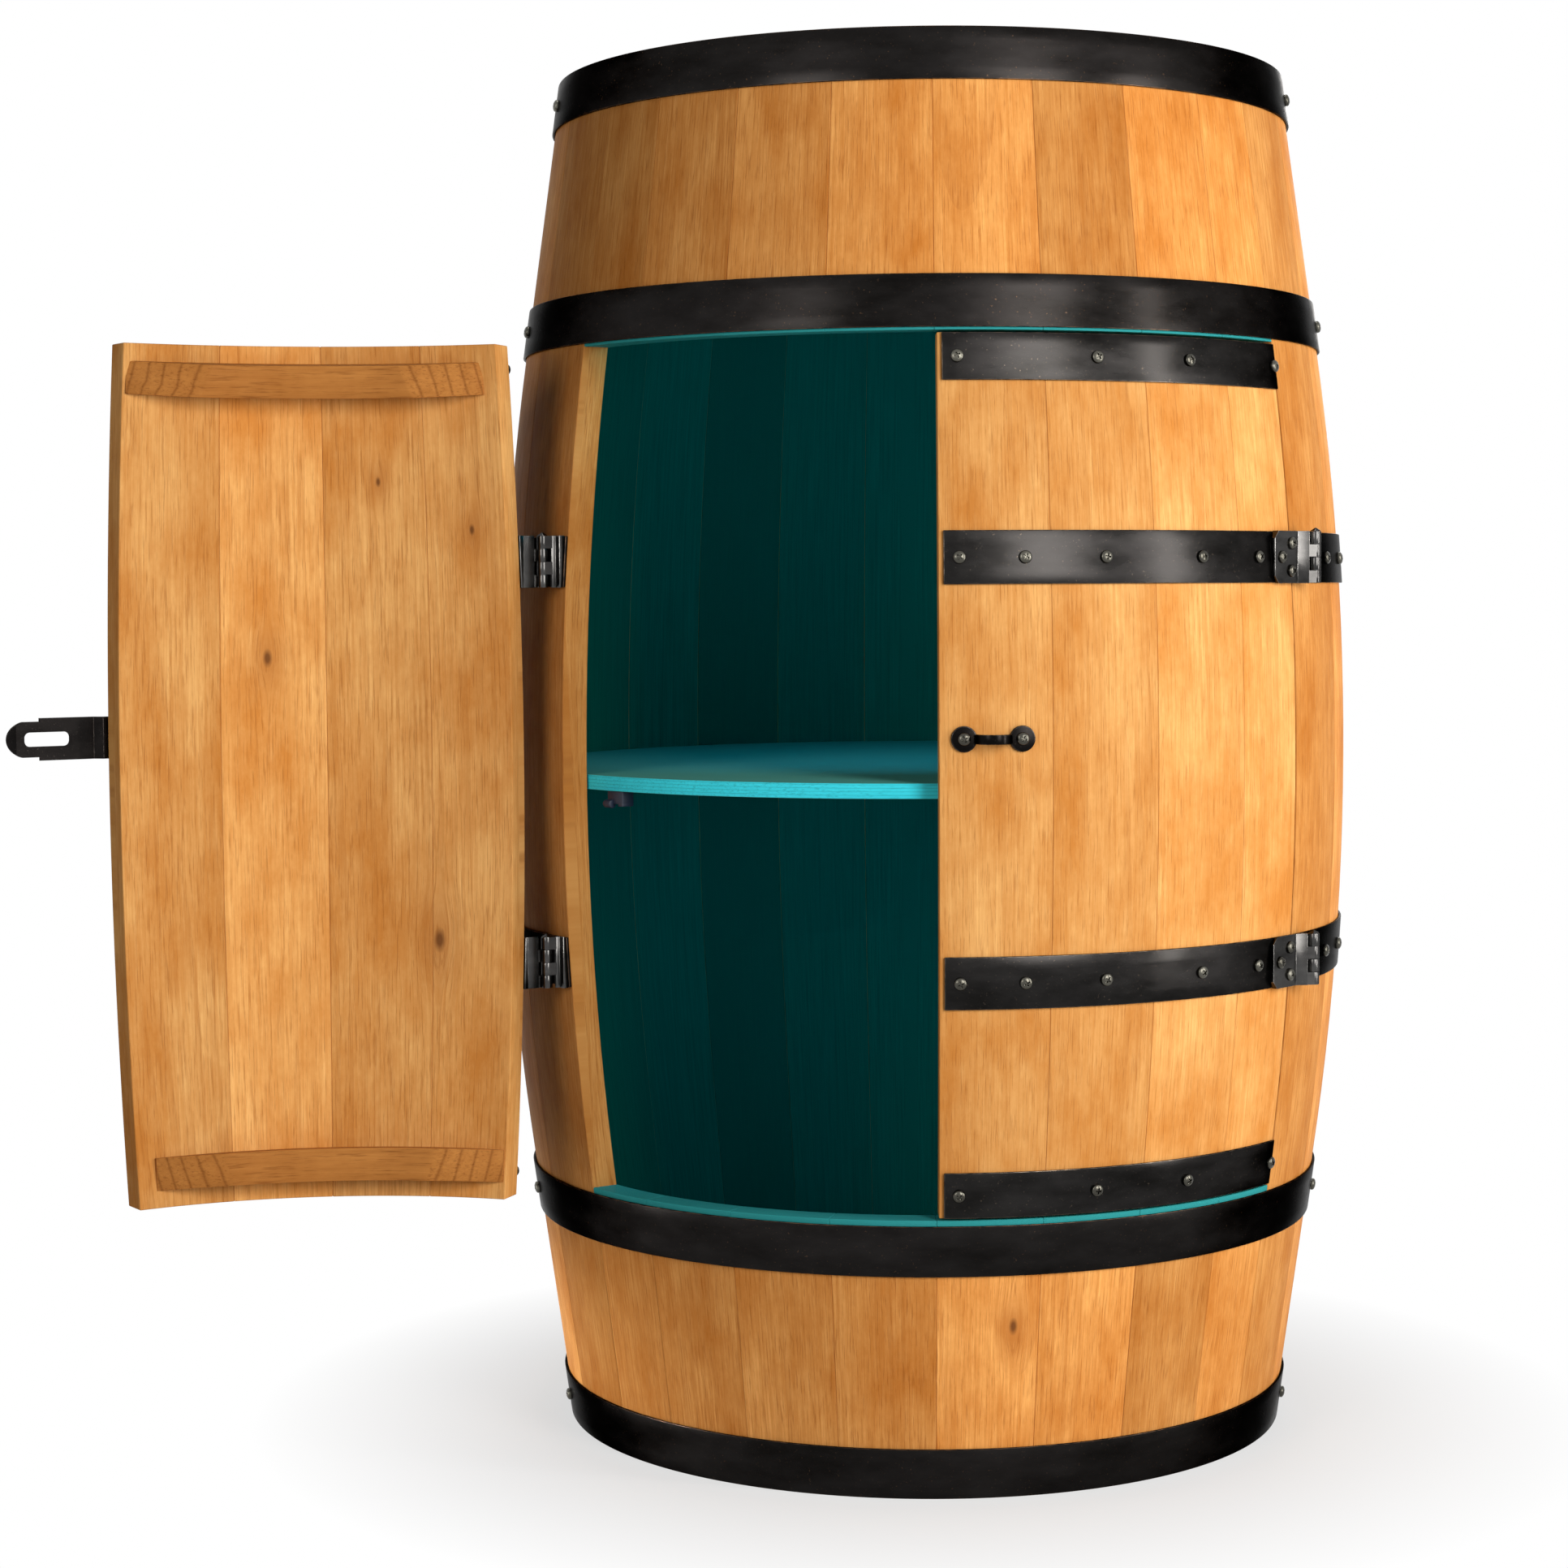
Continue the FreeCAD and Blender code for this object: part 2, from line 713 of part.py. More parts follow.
def make_rib(side, z, free_inset, hinge_inset):
    free = free_edge + arc_angle(free_inset)
    last = hinge_edge - arc_angle(hinge_inset)
    slope = lean(z, -stave_thick)
    wall = skin(z, -stave_thick)

    def at(depth, rise):
        radius = wall - depth * math.cos(slope) - rise * math.sin(slope)
        return spot(0, radius, z - depth * math.sin(slope) + rise * math.cos(slope))

    half = rib_thick / 2
    buried = -stave_thick / 2
    corners = [at(buried, -half), at(rib_depth, -half), at(rib_depth, half), at(buried, half)]
    start = min(side * free, side * last)
    face = Part.Face(Part.makePolygon(corners + corners[:1]))
    face.rotate(origin, up, start)
    rib = face.revolve(origin, up, last - free)
    cuts = [shell(-stave_thick - wall_seat, stave_thick, z - rib_thick, z + rib_thick,
                  start - 1, start + last - free + 1)]
    taper = arc_angle(rib_taper)
    beyond = arc_angle(rib_tip_depth)
    for end, inward in ((free, 1), (last, -1)):
        inside = end + inward * taper
        outside = end - inward * beyond
        plan = [(end, rib_tip_depth), (inside, rib_depth), (inside, 3 * rib_depth),
                (outside, 3 * rib_depth), (outside, rib_tip_depth)]
        points = [spot(side * azimuth, wall - depth, z - 2 * rib_thick) for azimuth, depth in plan]
        cuts.append(prism(points, 4 * rib_thick))
    return rib.cut(cuts)


def make_door(side, name, fittings, fitting_seats, opening):
    half = hoop_width / 2
    first = free_edge + arc_angle(free_screw_inset)
    stave_middles = [(a + b) / 2 for a, b in zip(stave_joints, stave_joints[1:])]
    end_screws = [first] + stave_middles + [hinge_edge - arc_angle(hinge_screw_inset)]
    beside = arc_angle(joint_screw_inset)
    bilge_screws = [first, stave_joints[0] - beside] + stave_middles + [stave_joints[-1] + beside]
    bands = {
        "top": (door_top - end_band_width, door_top, end_screws),
        "upper_bilge": (upper_bilge_z - half, upper_bilge_z + half, bilge_screws),
        "lower_bilge": (lower_bilge_z - half, lower_bilge_z + half, bilge_screws),
        "bottom": (door_bottom, door_bottom + end_band_width, end_screws),
    }
    seats = leaf_screw_seats(side) + fitting_seats
    for low, high, azimuths in bands.values():
        seats += [seat_on_skin(side * azimuth, (low + high) / 2, hoop_out) for azimuth in azimuths]
    drills = drills_at(seats)
    pieces = {}
    staves = front_staves(door_bottom, door_top, free_edge, hinge_edge, (side,))
    pieces[f"{name}_door_staves"] = [drilled(stave, drills) for stave in staves]
    ends = sorted((side * (free_edge + arc_angle(band_free_inset)),
                   side * (hinge_edge - arc_angle(band_hinge_inset))))
    for place, (low, high, azimuths) in bands.items():
        band = shell(hoop_fit, hoop_out, low, high, *ends)
        pieces[f"{name}_{place}_band"] = [drilled(band, drills)]
    for place, z in zip(("upper", "lower"), open_hoops.values()):
        pieces[f"{name}_{place}_hinge_door_leaf"] = [door_leaf(side, z, drills)]
    pieces[f"{name}_door_ribs"] = [make_rib(side, door_top - rib_from_end, *top_rib_insets),
                                   make_rib(side, door_bottom + rib_from_end, *bottom_rib_insets)]
    pieces[f"{name}_door_screws"] = screws_at(seats)
    for label, make in fittings.items():
        pieces[label] = [make(drills)]
    for label, shapes in pieces.items():
        for shape in shapes:
            shape.rotate(hinge_spot(side, 0, 0, 0), up, side * opening)
        add(label, *shapes)


def make_hinges_on_barrel():
    for side, name in ((-1, "left"), (1, "right")):
        for place, z in zip(("upper", "lower"), open_hoops.values()):
            add(f"{name}_{place}_hinge_barrel_leaf", barrel_leaf(side, z))
        make_hinge_pins(f"{name}_hinge_pins", side)


def make_all():
    seats = hoop_screw_seats()
    drills = drills_at(seats)
    make_barrel_staves(drills)
    make_hoops(drills)
    add("hoop_screws", *screws_at(seats))
    make_head("top_head", top_head_z)
    make_head("bottom_head", bottom_head_z)
    make_shelf()
    make_lights()
    make_hinges_on_barrel()
    hasp = {
        "hasp_leaf": make_hasp_leaf,
        "hasp_strap": lambda drills: make_strap(),
        "hasp_pin": lambda drills: hasp_column(hasp_pin_radius),
    }
    make_door(-1, "left", hasp, hasp_screw_seats(), left_door_opening)
    make_door(1, "right", {"staple": make_staple}, staple_screw_seats(), 0.0)


make_all()
for name, shape in parts.items():
    shape.exportStep(f"parts/{name}.step")
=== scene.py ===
import math
import random
import bmesh
import bpy
from mathutils import Matrix, Vector


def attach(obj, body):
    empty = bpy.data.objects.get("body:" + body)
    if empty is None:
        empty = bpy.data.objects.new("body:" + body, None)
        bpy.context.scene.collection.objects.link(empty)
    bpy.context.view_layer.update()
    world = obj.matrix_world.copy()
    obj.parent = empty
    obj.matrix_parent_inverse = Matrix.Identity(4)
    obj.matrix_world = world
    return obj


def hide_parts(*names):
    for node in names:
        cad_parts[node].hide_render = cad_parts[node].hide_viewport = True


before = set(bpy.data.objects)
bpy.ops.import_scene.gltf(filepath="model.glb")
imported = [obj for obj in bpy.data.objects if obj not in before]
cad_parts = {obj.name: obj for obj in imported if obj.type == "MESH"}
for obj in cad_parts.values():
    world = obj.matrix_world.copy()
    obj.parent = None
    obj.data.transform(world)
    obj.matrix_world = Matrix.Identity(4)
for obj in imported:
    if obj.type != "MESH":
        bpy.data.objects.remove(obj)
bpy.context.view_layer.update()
print("frame loaded")


# Camera and studio. An azimuth is an angle in degrees from the front towards +X.

cameraView = {"place": (-0.0634, -1.9100, 0.4989), "lens": 71.83, "pitch": -3.529, "heading": 0.606,
              "roll": -0.342}
softLight = {"colour": (1.0, 0.975, 0.94), "aim": 0.42, "spread": 180}
softLamps = {
    "sideStrip": {"azimuth": 62, "distance": 1.7, "height": 0.62, "size": (0.17, 1.2), "power": 17},
    "frontPanel": {"azimuth": 29, "distance": 1.9, "height": 0.9, "size": (0.6, 1.1), "power": 26},
    "leftPanel": {"azimuth": -33, "distance": 1.8, "height": 0.85, "size": (0.5, 0.7), "power": 7.5},
    "rearPanel": {"azimuth": 168, "distance": 2.0, "height": 1.1, "size": (0.9, 0.9), "power": 12},
    "topPanel": {"azimuth": 180, "distance": 0.1, "height": 1.75, "size": (0.35, 0.35), "power": 0.4,
                 "aim": 0.8, "spread": 50},
    "lowPanel": {"azimuth": -80, "distance": 1.0, "height": 0.06, "size": (0.3, 0.08), "power": 0.14,
                 "aim": 0.03, "spread": 20}}
glowLight = {"colour": (0.03, 0.62, 1.0), "spread": 140}
glowLamps = {
    "upperGlow": {"place": (0, -0.19, 0.645), "target": (0, 0.1, 0.57), "size": (0.26, 0.012), "power": 0.55},
    "lowerGlow": {"place": (0, -0.17, 0.375), "target": (0, 0.1, 0.27), "size": (0.24, 0.012), "power": 0.45}}


def around(azimuth, radius, z):
    angle = math.radians(azimuth)
    return Vector((radius * math.sin(angle), -radius * math.cos(angle), z))


def addObject(name, data):
    made = bpy.data.objects.new(name, data)
    bpy.context.scene.collection.objects.link(made)
    return made


def placeCamera():
    data = bpy.data.cameras.new("camera")
    data.lens = cameraView["lens"]
    turn = Matrix.Rotation(math.radians(cameraView["heading"]), 4, "Z")
    tilt = Matrix.Rotation(math.radians(90 + cameraView["pitch"]), 4, "X")
    roll = Matrix.Rotation(math.radians(cameraView["roll"]), 4, "Z")
    camera = addObject("camera", data)
    camera.matrix_world = Matrix.Translation(cameraView["place"]) @ turn @ tilt @ roll
    bpy.context.scene.camera = camera


def aimLamp(name, lamp, place, target):
    data = bpy.data.lights.new(name, "AREA")
    data.shape = "RECTANGLE"
    data.size, data.size_y = lamp["size"]
    data.energy = lamp["power"]
    data.color = lamp["colour"]
    data.spread = math.radians(lamp["spread"])
    made = addObject(name, data)
    made.location = place
    made.rotation_euler = (Vector(target) - Vector(place)).to_track_quat("-Z", "Y").to_euler()


placeCamera()
bpy.context.scene.view_settings.view_transform = "Standard"
for name, own in softLamps.items():
    lamp = softLight | own
    aimLamp(name, lamp, around(lamp["azimuth"], lamp["distance"], lamp["height"]), (0, 0, lamp["aim"]))
for name, lamp in glowLamps.items():
    aimLamp(name, glowLight | lamp, lamp["place"], lamp["target"])
print("camera and lamps placed")


# Node helpers

def newGroup(name, inputs, outputs):
    group = bpy.data.node_groups.new(name, "ShaderNodeTree")
    for sockets, way in ((inputs, "INPUT"), (outputs, "OUTPUT")):
        for label, kind in sockets.items():
            group.interface.new_socket(name=label, in_out=way, socket_type="NodeSocket" + kind)
    return group, group.nodes.new("NodeGroupInput").outputs, group.nodes.new("NodeGroupOutput").inputs


def useGroup(tree, group, **values):
    node = tree.nodes.new("ShaderNodeGroup")
    node.node_tree = group
    for label, value in values.items():
        plug(tree, value, node.inputs[label])
    return node.outputs


def plug(tree, source, target):
    # A node's first output, an output socket or a plain value goes into an input socket.
    if isinstance(source, bpy.types.Node):
        source = source.outputs[0]
    if isinstance(source, bpy.types.NodeSocket):
        tree.links.new(source, target)
    else:
        target.default_value = (*source, 1) if target.type == "RGBA" else source


def calc(tree, operation, *values):
    node = tree.nodes.new("ShaderNodeMath")
    node.operation = operation
    for value, socket in zip(values, node.inputs):
        plug(tree, value, socket)
    return node.outputs[0]


def times(tree, first, second):
    return calc(tree, "MULTIPLY", first, second)


def plus(tree, first, second):
    return calc(tree, "ADD", first, second)


def vectorCalc(tree, operation, first, second):
    node = tree.nodes.new("ShaderNodeVectorMath")
    node.operation = operation
    plug(tree, first, node.inputs[0])
    plug(tree, second, node.inputs[1])
    return node.outputs[0]


def drawn(tree, vector, share):
    # Noise on this vector is drawn out or squeezed along the third axis.
    return vectorCalc(tree, "MULTIPLY", vector, (1.0, 1.0, share))


def split(tree, vector):
    node = tree.nodes.new("ShaderNodeSeparateXYZ")
    plug(tree, vector, node.inputs[0])
    return node.outputs


def join(tree, *values):
    node = tree.nodes.new("ShaderNodeCombineXYZ")
    for value, socket in zip(values, node.inputs):
        plug(tree, value, socket)
    return node


def noise(tree, vector, scale, detail=2.0, roughness=0.5):
    node = tree.nodes.new("ShaderNodeTexNoise")
    for value, label in ((vector, "Vector"), (scale, "Scale"), (detail, "Detail"), (roughness, "Roughness")):
        plug(tree, value, node.inputs[label])
    return node.outputs["Fac"]


def span(tree, value, low, high, toLow=0.0, toHigh=1.0):
    node = tree.nodes.new("ShaderNodeMapRange")
    for source, socket in zip((value, low, high, toLow, toHigh), node.inputs):
        plug(tree, source, socket)
    return node.outputs[0]


def between(tree, value, limits, soft):
    low, high = limits
    return times(tree, span(tree, value, low - soft, low), span(tree, value, high + soft, high))


def mixColour(tree, factor, first, second):
    node = tree.nodes.new("ShaderNodeMix")
    node.data_type = "RGBA"
    for value, label in ((factor, "Factor_Float"), (first, "A_Color"), (second, "B_Color")):
        plug(tree, value, next(s for s in node.inputs if s.identifier == label))
    return next(s for s in node.outputs if s.identifier == "Result_Color")


def cover(tree, colour, mask, share, paint):
    return mixColour(tree, times(tree, mask, share), colour, paint)


def attribute(tree, name):
    node = tree.nodes.new("ShaderNodeAttribute")
    node.attribute_name = name
    return node.outputs


def objectPlace(tree):
    return tree.nodes.new("ShaderNodeTexCoord").outputs["Object"]


def newMaterial(name):
    material = bpy.data.materials.new(name)
    material.use_nodes = True
    tree = material.node_tree
    return material, tree, tree.nodes["Principled BSDF"]


def dress(tree, shader, colour, rough, relief, strength, depth):
    bump = tree.nodes.new("ShaderNodeBump")
    for value, label in ((relief, "Height"), (strength, "Strength"), (depth, "Distance")):
        plug(tree, value, bump.inputs[label])
    for value, label in ((colour, "Base Color"), (rough, "Roughness"), (bump, "Normal")):
        plug(tree, value, shader.inputs[label])


finishes = {}  # each finish's material and slot


# Wood. The grain attribute holds a point's place across, into and along its board, in metres.

figureForm = {"seedAcross": 3.7, "seedAlong": 11.3, "slow": 0.22, "warp": (22.0, 3.0), "warpAcross": 0.022,
              "warpRings": 0.006, "wave": 3.2, "waveSeed": 6.3, "waveDeep": 0.03, "heartDeep": 0.035,
              "ringCount": 120.0, "ringFade": 1.6, "patches": (31.0, 3.0), "patchRange": (0.42, 0.66)}
figureNoises = {"Fibre": {"drawn": 0.022, "noise": (560.0, 5.0, 0.72), "range": (0.3, 0.72)},
                "Pores": {"drawn": 0.045, "noise": (1150.0, 3.0, 0.6), "range": (0.53, 0.68)},
                "Blotch": {"drawn": 0.5, "noise": (24.0, 6.0, 0.66), "range": (0.36, 0.66)}}
knotForm = {"tall": 0.55, "core": (0.35, 1.0), "fade": -0.09, "blend": 0.002, "push": -1.6,
            "haloShare": 0.45, "coreShare": 0.85, "colour": (0.13, 0.045, 0.015)}


def makeFigureGroup():
    # Growth rings around a wavy heart below the board, and three noises.
    tree, inside, outside = newGroup(
        "woodFigure", {"Grain": "Vector", "Seed": "Float", "Heart": "Float"},
        {"Rings": "Float", "Fibre": "Float", "Pores": "Float", "Blotch": "Float"})
    form, seed = figureForm, inside["Seed"]
    shift = join(tree, times(tree, seed, form["seedAcross"]), 0.0, times(tree, seed, form["seedAlong"]))
    moved = vectorCalc(tree, "ADD", inside["Grain"], shift)
    slow = drawn(tree, moved, form["slow"])
    warp = calc(tree, "SUBTRACT", noise(tree, slow, *form["warp"]), 0.5)
    x, y, z = split(tree, inside["Grain"])
    across = plus(tree, calc(tree, "SUBTRACT", x, inside["Heart"]), times(tree, warp, form["warpAcross"]))
    wave = calc(tree, "SINE", plus(tree, times(tree, z, form["wave"]), times(tree, seed, form["waveSeed"])))
    deep = plus(tree, times(tree, wave, form["waveDeep"]), plus(tree, y, form["heartDeep"]))
    radius = calc(tree, "SQRT", plus(tree, times(tree, across, across), times(tree, deep, deep)))
    ripple = plus(tree, radius, times(tree, warp, form["warpRings"]))
    rings = calc(tree, "POWER", calc(tree, "FRACT", times(tree, ripple, form["ringCount"])), form["ringFade"])
    patchy = span(tree, noise(tree, slow, *form["patches"]), *form["patchRange"])
    plug(tree, times(tree, rings, patchy), outside["Rings"])
    for label, look in figureNoises.items():
        found = noise(tree, drawn(tree, moved, look["drawn"]), *look["noise"])
        plug(tree, span(tree, found, *look["range"]), outside[label])
    return tree


def makeKnotGroup():
    # A round core, a halo around it and a swirl that pushes the grain aside.
    tree, inside, outside = newGroup(
        "knot", {"Grain": "Vector", "Centre": "Vector", "Size": "Float"},
        {"Core": "Float", "Swirl": "Vector", "Halo": "Float"})
    away = split(tree, vectorCalc(tree, "SUBTRACT", inside["Grain"], inside["Centre"]))
    x, tall = away[0], times(tree, away[2], knotForm["tall"])
    reach = calc(tree, "SQRT", plus(tree, times(tree, x, x), times(tree, tall, tall)))
    ratio = calc(tree, "DIVIDE", reach, inside["Size"])
    halo = calc(tree, "EXPONENT", times(tree, times(tree, ratio, ratio), knotForm["fade"]))
    side = calc(tree, "DIVIDE", x, plus(tree, calc(tree, "ABSOLUTE", x), knotForm["blend"]))
    strength = times(tree, times(tree, halo, inside["Size"]), knotForm["push"])
    plug(tree, span(tree, ratio, *knotForm["core"], 1.0, 0.0), outside["Core"])
    plug(tree, halo, outside["Halo"])
    plug(tree, join(tree, times(tree, side, strength)), outside["Swirl"])
    return tree


figureGroup = makeFigureGroup()
knotGroup = makeKnotGroup()

woodLook = {"toneTop": 1.06, "heartWidth": 0.12, "roughSpread": 0.10, "specular": 0.006, "fibreRelief": 0.5,
            "relief": (0.18, 0.0004), "insideSoft": 0.0006, "betweenSoft": 0.0005, "litSoft": 0.0002,
            "knots": []}
woodFinishes = {
    "staveWood": {
        "slot": "stave_wood", "pale": (0.95, 0.49, 0.155), "main": (0.56, 0.195, 0.034),
        "dark": (0.30, 0.075, 0.010), "toneSpread": 0.32, "rings": 0.22, "fibre": 0.85, "pores": 0.50,
        "blotch": 1.0, "rough": 0.42, "joint": 0.16, "jointColour": (0.20, 0.07, 0.018), "inside": 0.016,
        "between": (0.022, 0.772),
        # Inside the barrel the wood gets painted teal glow and shade, and the doorway's rims get painted teal
        # glow.
        "insidePaintedGlowDark": (0.0015, 0.064, 0.042), "insidePaintedGlowPale": (0.0025, 0.115, 0.076),
        "lit": (0.03, 0.28, 0.29), "litBetween": (0.1556, 0.6386), "knots": [((0.047, 0, 0.098), 0.0030)]},
    "doorWood": {
        "slot": "door_wood", "pale": (0.96, 0.55, 0.20), "main": (0.62, 0.24, 0.050),
        "dark": (0.34, 0.10, 0.015), "toneSpread": 0.20, "rings": 0.22, "fibre": 0.80, "pores": 0.45,
        "blotch": 1.0, "rough": 0.44, "joint": 0.16, "jointColour": (0.24, 0.09, 0.024),
        "knots": [((-0.0913, 0, 0.4631), 0.0032), ((-0.1934, 0, 0.3037), 0.0042),
                  ((-0.1600, 0, 0.5610), 0.0018), ((-0.2180, 0, 0.5340), 0.0020)]},
    "headWood": {
        "slot": "head_wood", "pale": (0.72, 0.33, 0.085), "main": (0.62, 0.24, 0.050),
        "dark": (0.34, 0.10, 0.016), "toneSpread": 0.26, "rings": 0.22, "fibre": 0.5, "pores": 0.5,
        "blotch": 0.8, "rough": 0.46, "joint": 0.6, "jointColour": (0.16, 0.055, 0.015)},
    # The cleats' dark teal colours are painted glow and shade inside the barrel.
    "cleatWoodPaintedGlow": {
        "slot": "cleat_wood", "pale": (0.010, 0.085, 0.072), "main": (0.006, 0.065, 0.055),
        "dark": (0.003, 0.032, 0.028), "toneSpread": 0.3, "rings": 0.25, "fibre": 0.42, "pores": 0.35,
        "blotch": 0.4, "rough": 0.5, "joint": 0.3, "jointColour": (0.01, 0.03, 0.025)},
    # The bottom head's teal colours are painted glow, not the wood's own colour.
    "floorWoodPaintedGlow": {
        "slot": "head_wood", "pale": (0.045, 0.30, 0.31), "main": (0.030, 0.24, 0.25),
        "dark": (0.015, 0.12, 0.13), "toneSpread": 0.25, "rings": 0.25, "fibre": 0.45, "pores": 0.4,
        "blotch": 0.5, "rough": 0.5, "joint": 0.5, "jointColour": (0.005, 0.05, 0.05)}}
plyLook = {"blotch": 1.0, "fibre": 0.75, "rings": 0.0, "pores": 0.5, "seed": 0.37, "wobble": (60.0, 2.0),
           "wobbleShare": 0.25, "lineRange": (0.72, 0.98), "flatRange": (0.6, 0.9), "rough": 0.44,
           "roughSpread": 0.12, "specular": 0.03, "relief": (0.2, 0.0004)}
plyFinishes = {
    "ribPly": {"slot": "rib_plywood", "pale": (0.50, 0.210, 0.052), "main": (0.33, 0.120, 0.025),
               "dark": (0.15, 0.042, 0.008), "ply": 0.0017, "line": 0.5},
    # The shelf's teal colours are painted glow, and its face colour paints teal glow on the up-facing top.
    "shelfPly": {"slot": "shelf_plywood", "pale": (0.060, 0.80, 0.95), "main": (0.045, 0.66, 0.80),
                 "dark": (0.020, 0.32, 0.40), "ply": 0.00095, "line": 0.55, "face": (0.09, 0.34, 0.30)}}


def figuredColour(tree, figure, finish):
    colour = finish["pale"]
    for label, paint in (("Blotch", "main"), ("Fibre", "main"), ("Rings", "dark"), ("Pores", "dark")):
        colour = cover(tree, colour, figure[label], finish[label.lower()], finish[paint])
    return colour


def paintedGlowInside(tree, colour, finish, figure, grain, tone):
    # Painted teal glow and shade on the inside of the staves, and painted teal glow on the lit rims of the
    # doorway.
    parts = split(tree, grain)
    depth, height = parts[1], parts[2]
    within = times(tree, span(tree, depth, finish["inside"] - finish["insideSoft"], finish["inside"]),
                   between(tree, height, finish["between"], finish["betweenSoft"]))
    streaked = mixColour(tree, figure["Fibre"], finish["insidePaintedGlowDark"], finish["insidePaintedGlowPale"])
    colour = mixColour(tree, within, colour, mixColour(tree, tone, finish["insidePaintedGlowDark"], streaked))
    # The lit rims get painted teal glow.
    rim = between(tree, height, finish["litBetween"], finish["litSoft"])
    return cover(tree, colour, attribute(tree, "lit")["Fac"], rim, finish["lit"])


def makeWood(name, finish):
    material, tree, shader = newMaterial(name)
    grain = attribute(tree, "grain")["Vector"]
    tint = tree.nodes.new("ShaderNodeSeparateColor")
    plug(tree, attribute(tree, "tint")["Color"], tint.inputs[0])
    tone, seed, heart = tint.outputs
    core, halo, swirled = 0.0, 0.0, grain
    for centre, size in finish["knots"]:
        found = useGroup(tree, knotGroup, Grain=swirled, Centre=centre, Size=size)
        core = calc(tree, "MAXIMUM", core, found["Core"])
        halo = calc(tree, "MAXIMUM", halo, found["Halo"])
        swirled = vectorCalc(tree, "ADD", swirled, found["Swirl"])
    heart = times(tree, calc(tree, "SUBTRACT", heart, 0.5), finish["heartWidth"])
    figure = useGroup(tree, figureGroup, Grain=swirled, Seed=seed, Heart=heart)
    toned = tree.nodes.new("ShaderNodeHueSaturation")
    plug(tree, figuredColour(tree, figure, finish), toned.inputs["Color"])
    plug(tree, span(tree, tone, 0, 1, 1 - finish["toneSpread"], finish["toneTop"]), toned.inputs["Value"])
    colour = cover(tree, toned, halo, knotForm["haloShare"], finish["dark"])
    colour = cover(tree, colour, core, knotForm["coreShare"], knotForm["colour"])
    colour = cover(tree, colour, attribute(tree, "rub")["Fac"], finish["joint"], finish["jointColour"])
    if "inside" in finish:
        colour = paintedGlowInside(tree, colour, finish, figure, grain, tone)
    rough = finish["rough"] - finish["roughSpread"] / 2
    rough = calc(tree, "MULTIPLY_ADD", figure["Fibre"], finish["roughSpread"], rough)
    relief = calc(tree, "SUBTRACT", times(tree, figure["Fibre"], finish["fibreRelief"]), figure["Pores"])
    dress(tree, shader, colour, rough, relief, *finish["relief"])
    shader.inputs["Specular IOR Level"].default_value = finish["specular"]
    return material


def makePly(name, finish):
    # Plies lie at right angles to the grain attribute's second axis.
    material, tree, shader = newMaterial(name)
    grain = attribute(tree, "grain")["Vector"]
    figure = useGroup(tree, figureGroup, Grain=grain, Seed=finish["seed"], Heart=0.0)
    depth = split(tree, grain)[1]
    wobble = times(tree, noise(tree, grain, *finish["wobble"]), finish["wobbleShare"])
    layer = calc(tree, "PINGPONG", plus(tree, times(tree, depth, 1 / finish["ply"]), wobble), 1.0)
    line = span(tree, layer, *finish["lineRange"])
    colour = cover(tree, figuredColour(tree, figure, finish), line, finish["line"], finish["dark"])
    # Up-facing faces get the face colour, a painted teal glow on the shelf's top.
    if "face" in finish:
        upward = split(tree, tree.nodes.new("ShaderNodeNewGeometry").outputs["Normal"])[2]
        flat = span(tree, calc(tree, "ABSOLUTE", upward), *finish["flatRange"])
        colour = mixColour(tree, flat, colour, finish["face"])
    rough = calc(tree, "MULTIPLY_ADD", figure["Fibre"], finish["roughSpread"], finish["rough"])
    dress(tree, shader, colour, rough, calc(tree, "SUBTRACT", figure["Fibre"], line), *finish["relief"])
    shader.inputs["Specular IOR Level"].default_value = finish["specular"]
    return material


for name, finish in woodFinishes.items():
    finishes[name] = makeWood(name, woodLook | finish), finish["slot"]
for name, finish in plyFinishes.items():
    finishes[name] = makePly(name, plyLook | finish), finish["slot"]
print("wood materials made")


# Black steel

rubForm = {"worn": (190.0, 3.0, 0.6), "wornRange": (0.36, 0.62), "drawn": 2.6, "smear": (17.0, 5.0, 0.6),
           "smearRange": (0.3, 0.7), "speck": (1.0, 0.4), "speckRange": (0.70, 0.80)}


def makeRubGroup():
    # Broken wear along the marked edges, smears and fine specks over the rest.
    tree, inside, outside = newGroup(
        "rubbedSteel", {"Place": "Vector", "Mark": "Float", "Speck": "Float"},
        {"Edge": "Float", "Smear": "Float", "Speck": "Float"})
    place = inside["Place"]
    worn = span(tree, noise(tree, place, *rubForm["worn"]), *rubForm["wornRange"])
    smear = noise(tree, drawn(tree, place, rubForm["drawn"]), *rubForm["smear"])
    specks = noise(tree, place, inside["Speck"], *rubForm["speck"])
    plug(tree, times(tree, inside["Mark"], worn), outside["Edge"])
    plug(tree, span(tree, smear, *rubForm["smearRange"]), outside["Smear"])
    plug(tree, span(tree, specks, *rubForm["speckRange"]), outside["Speck"])
    return tree


rubGroup = makeRubGroup()

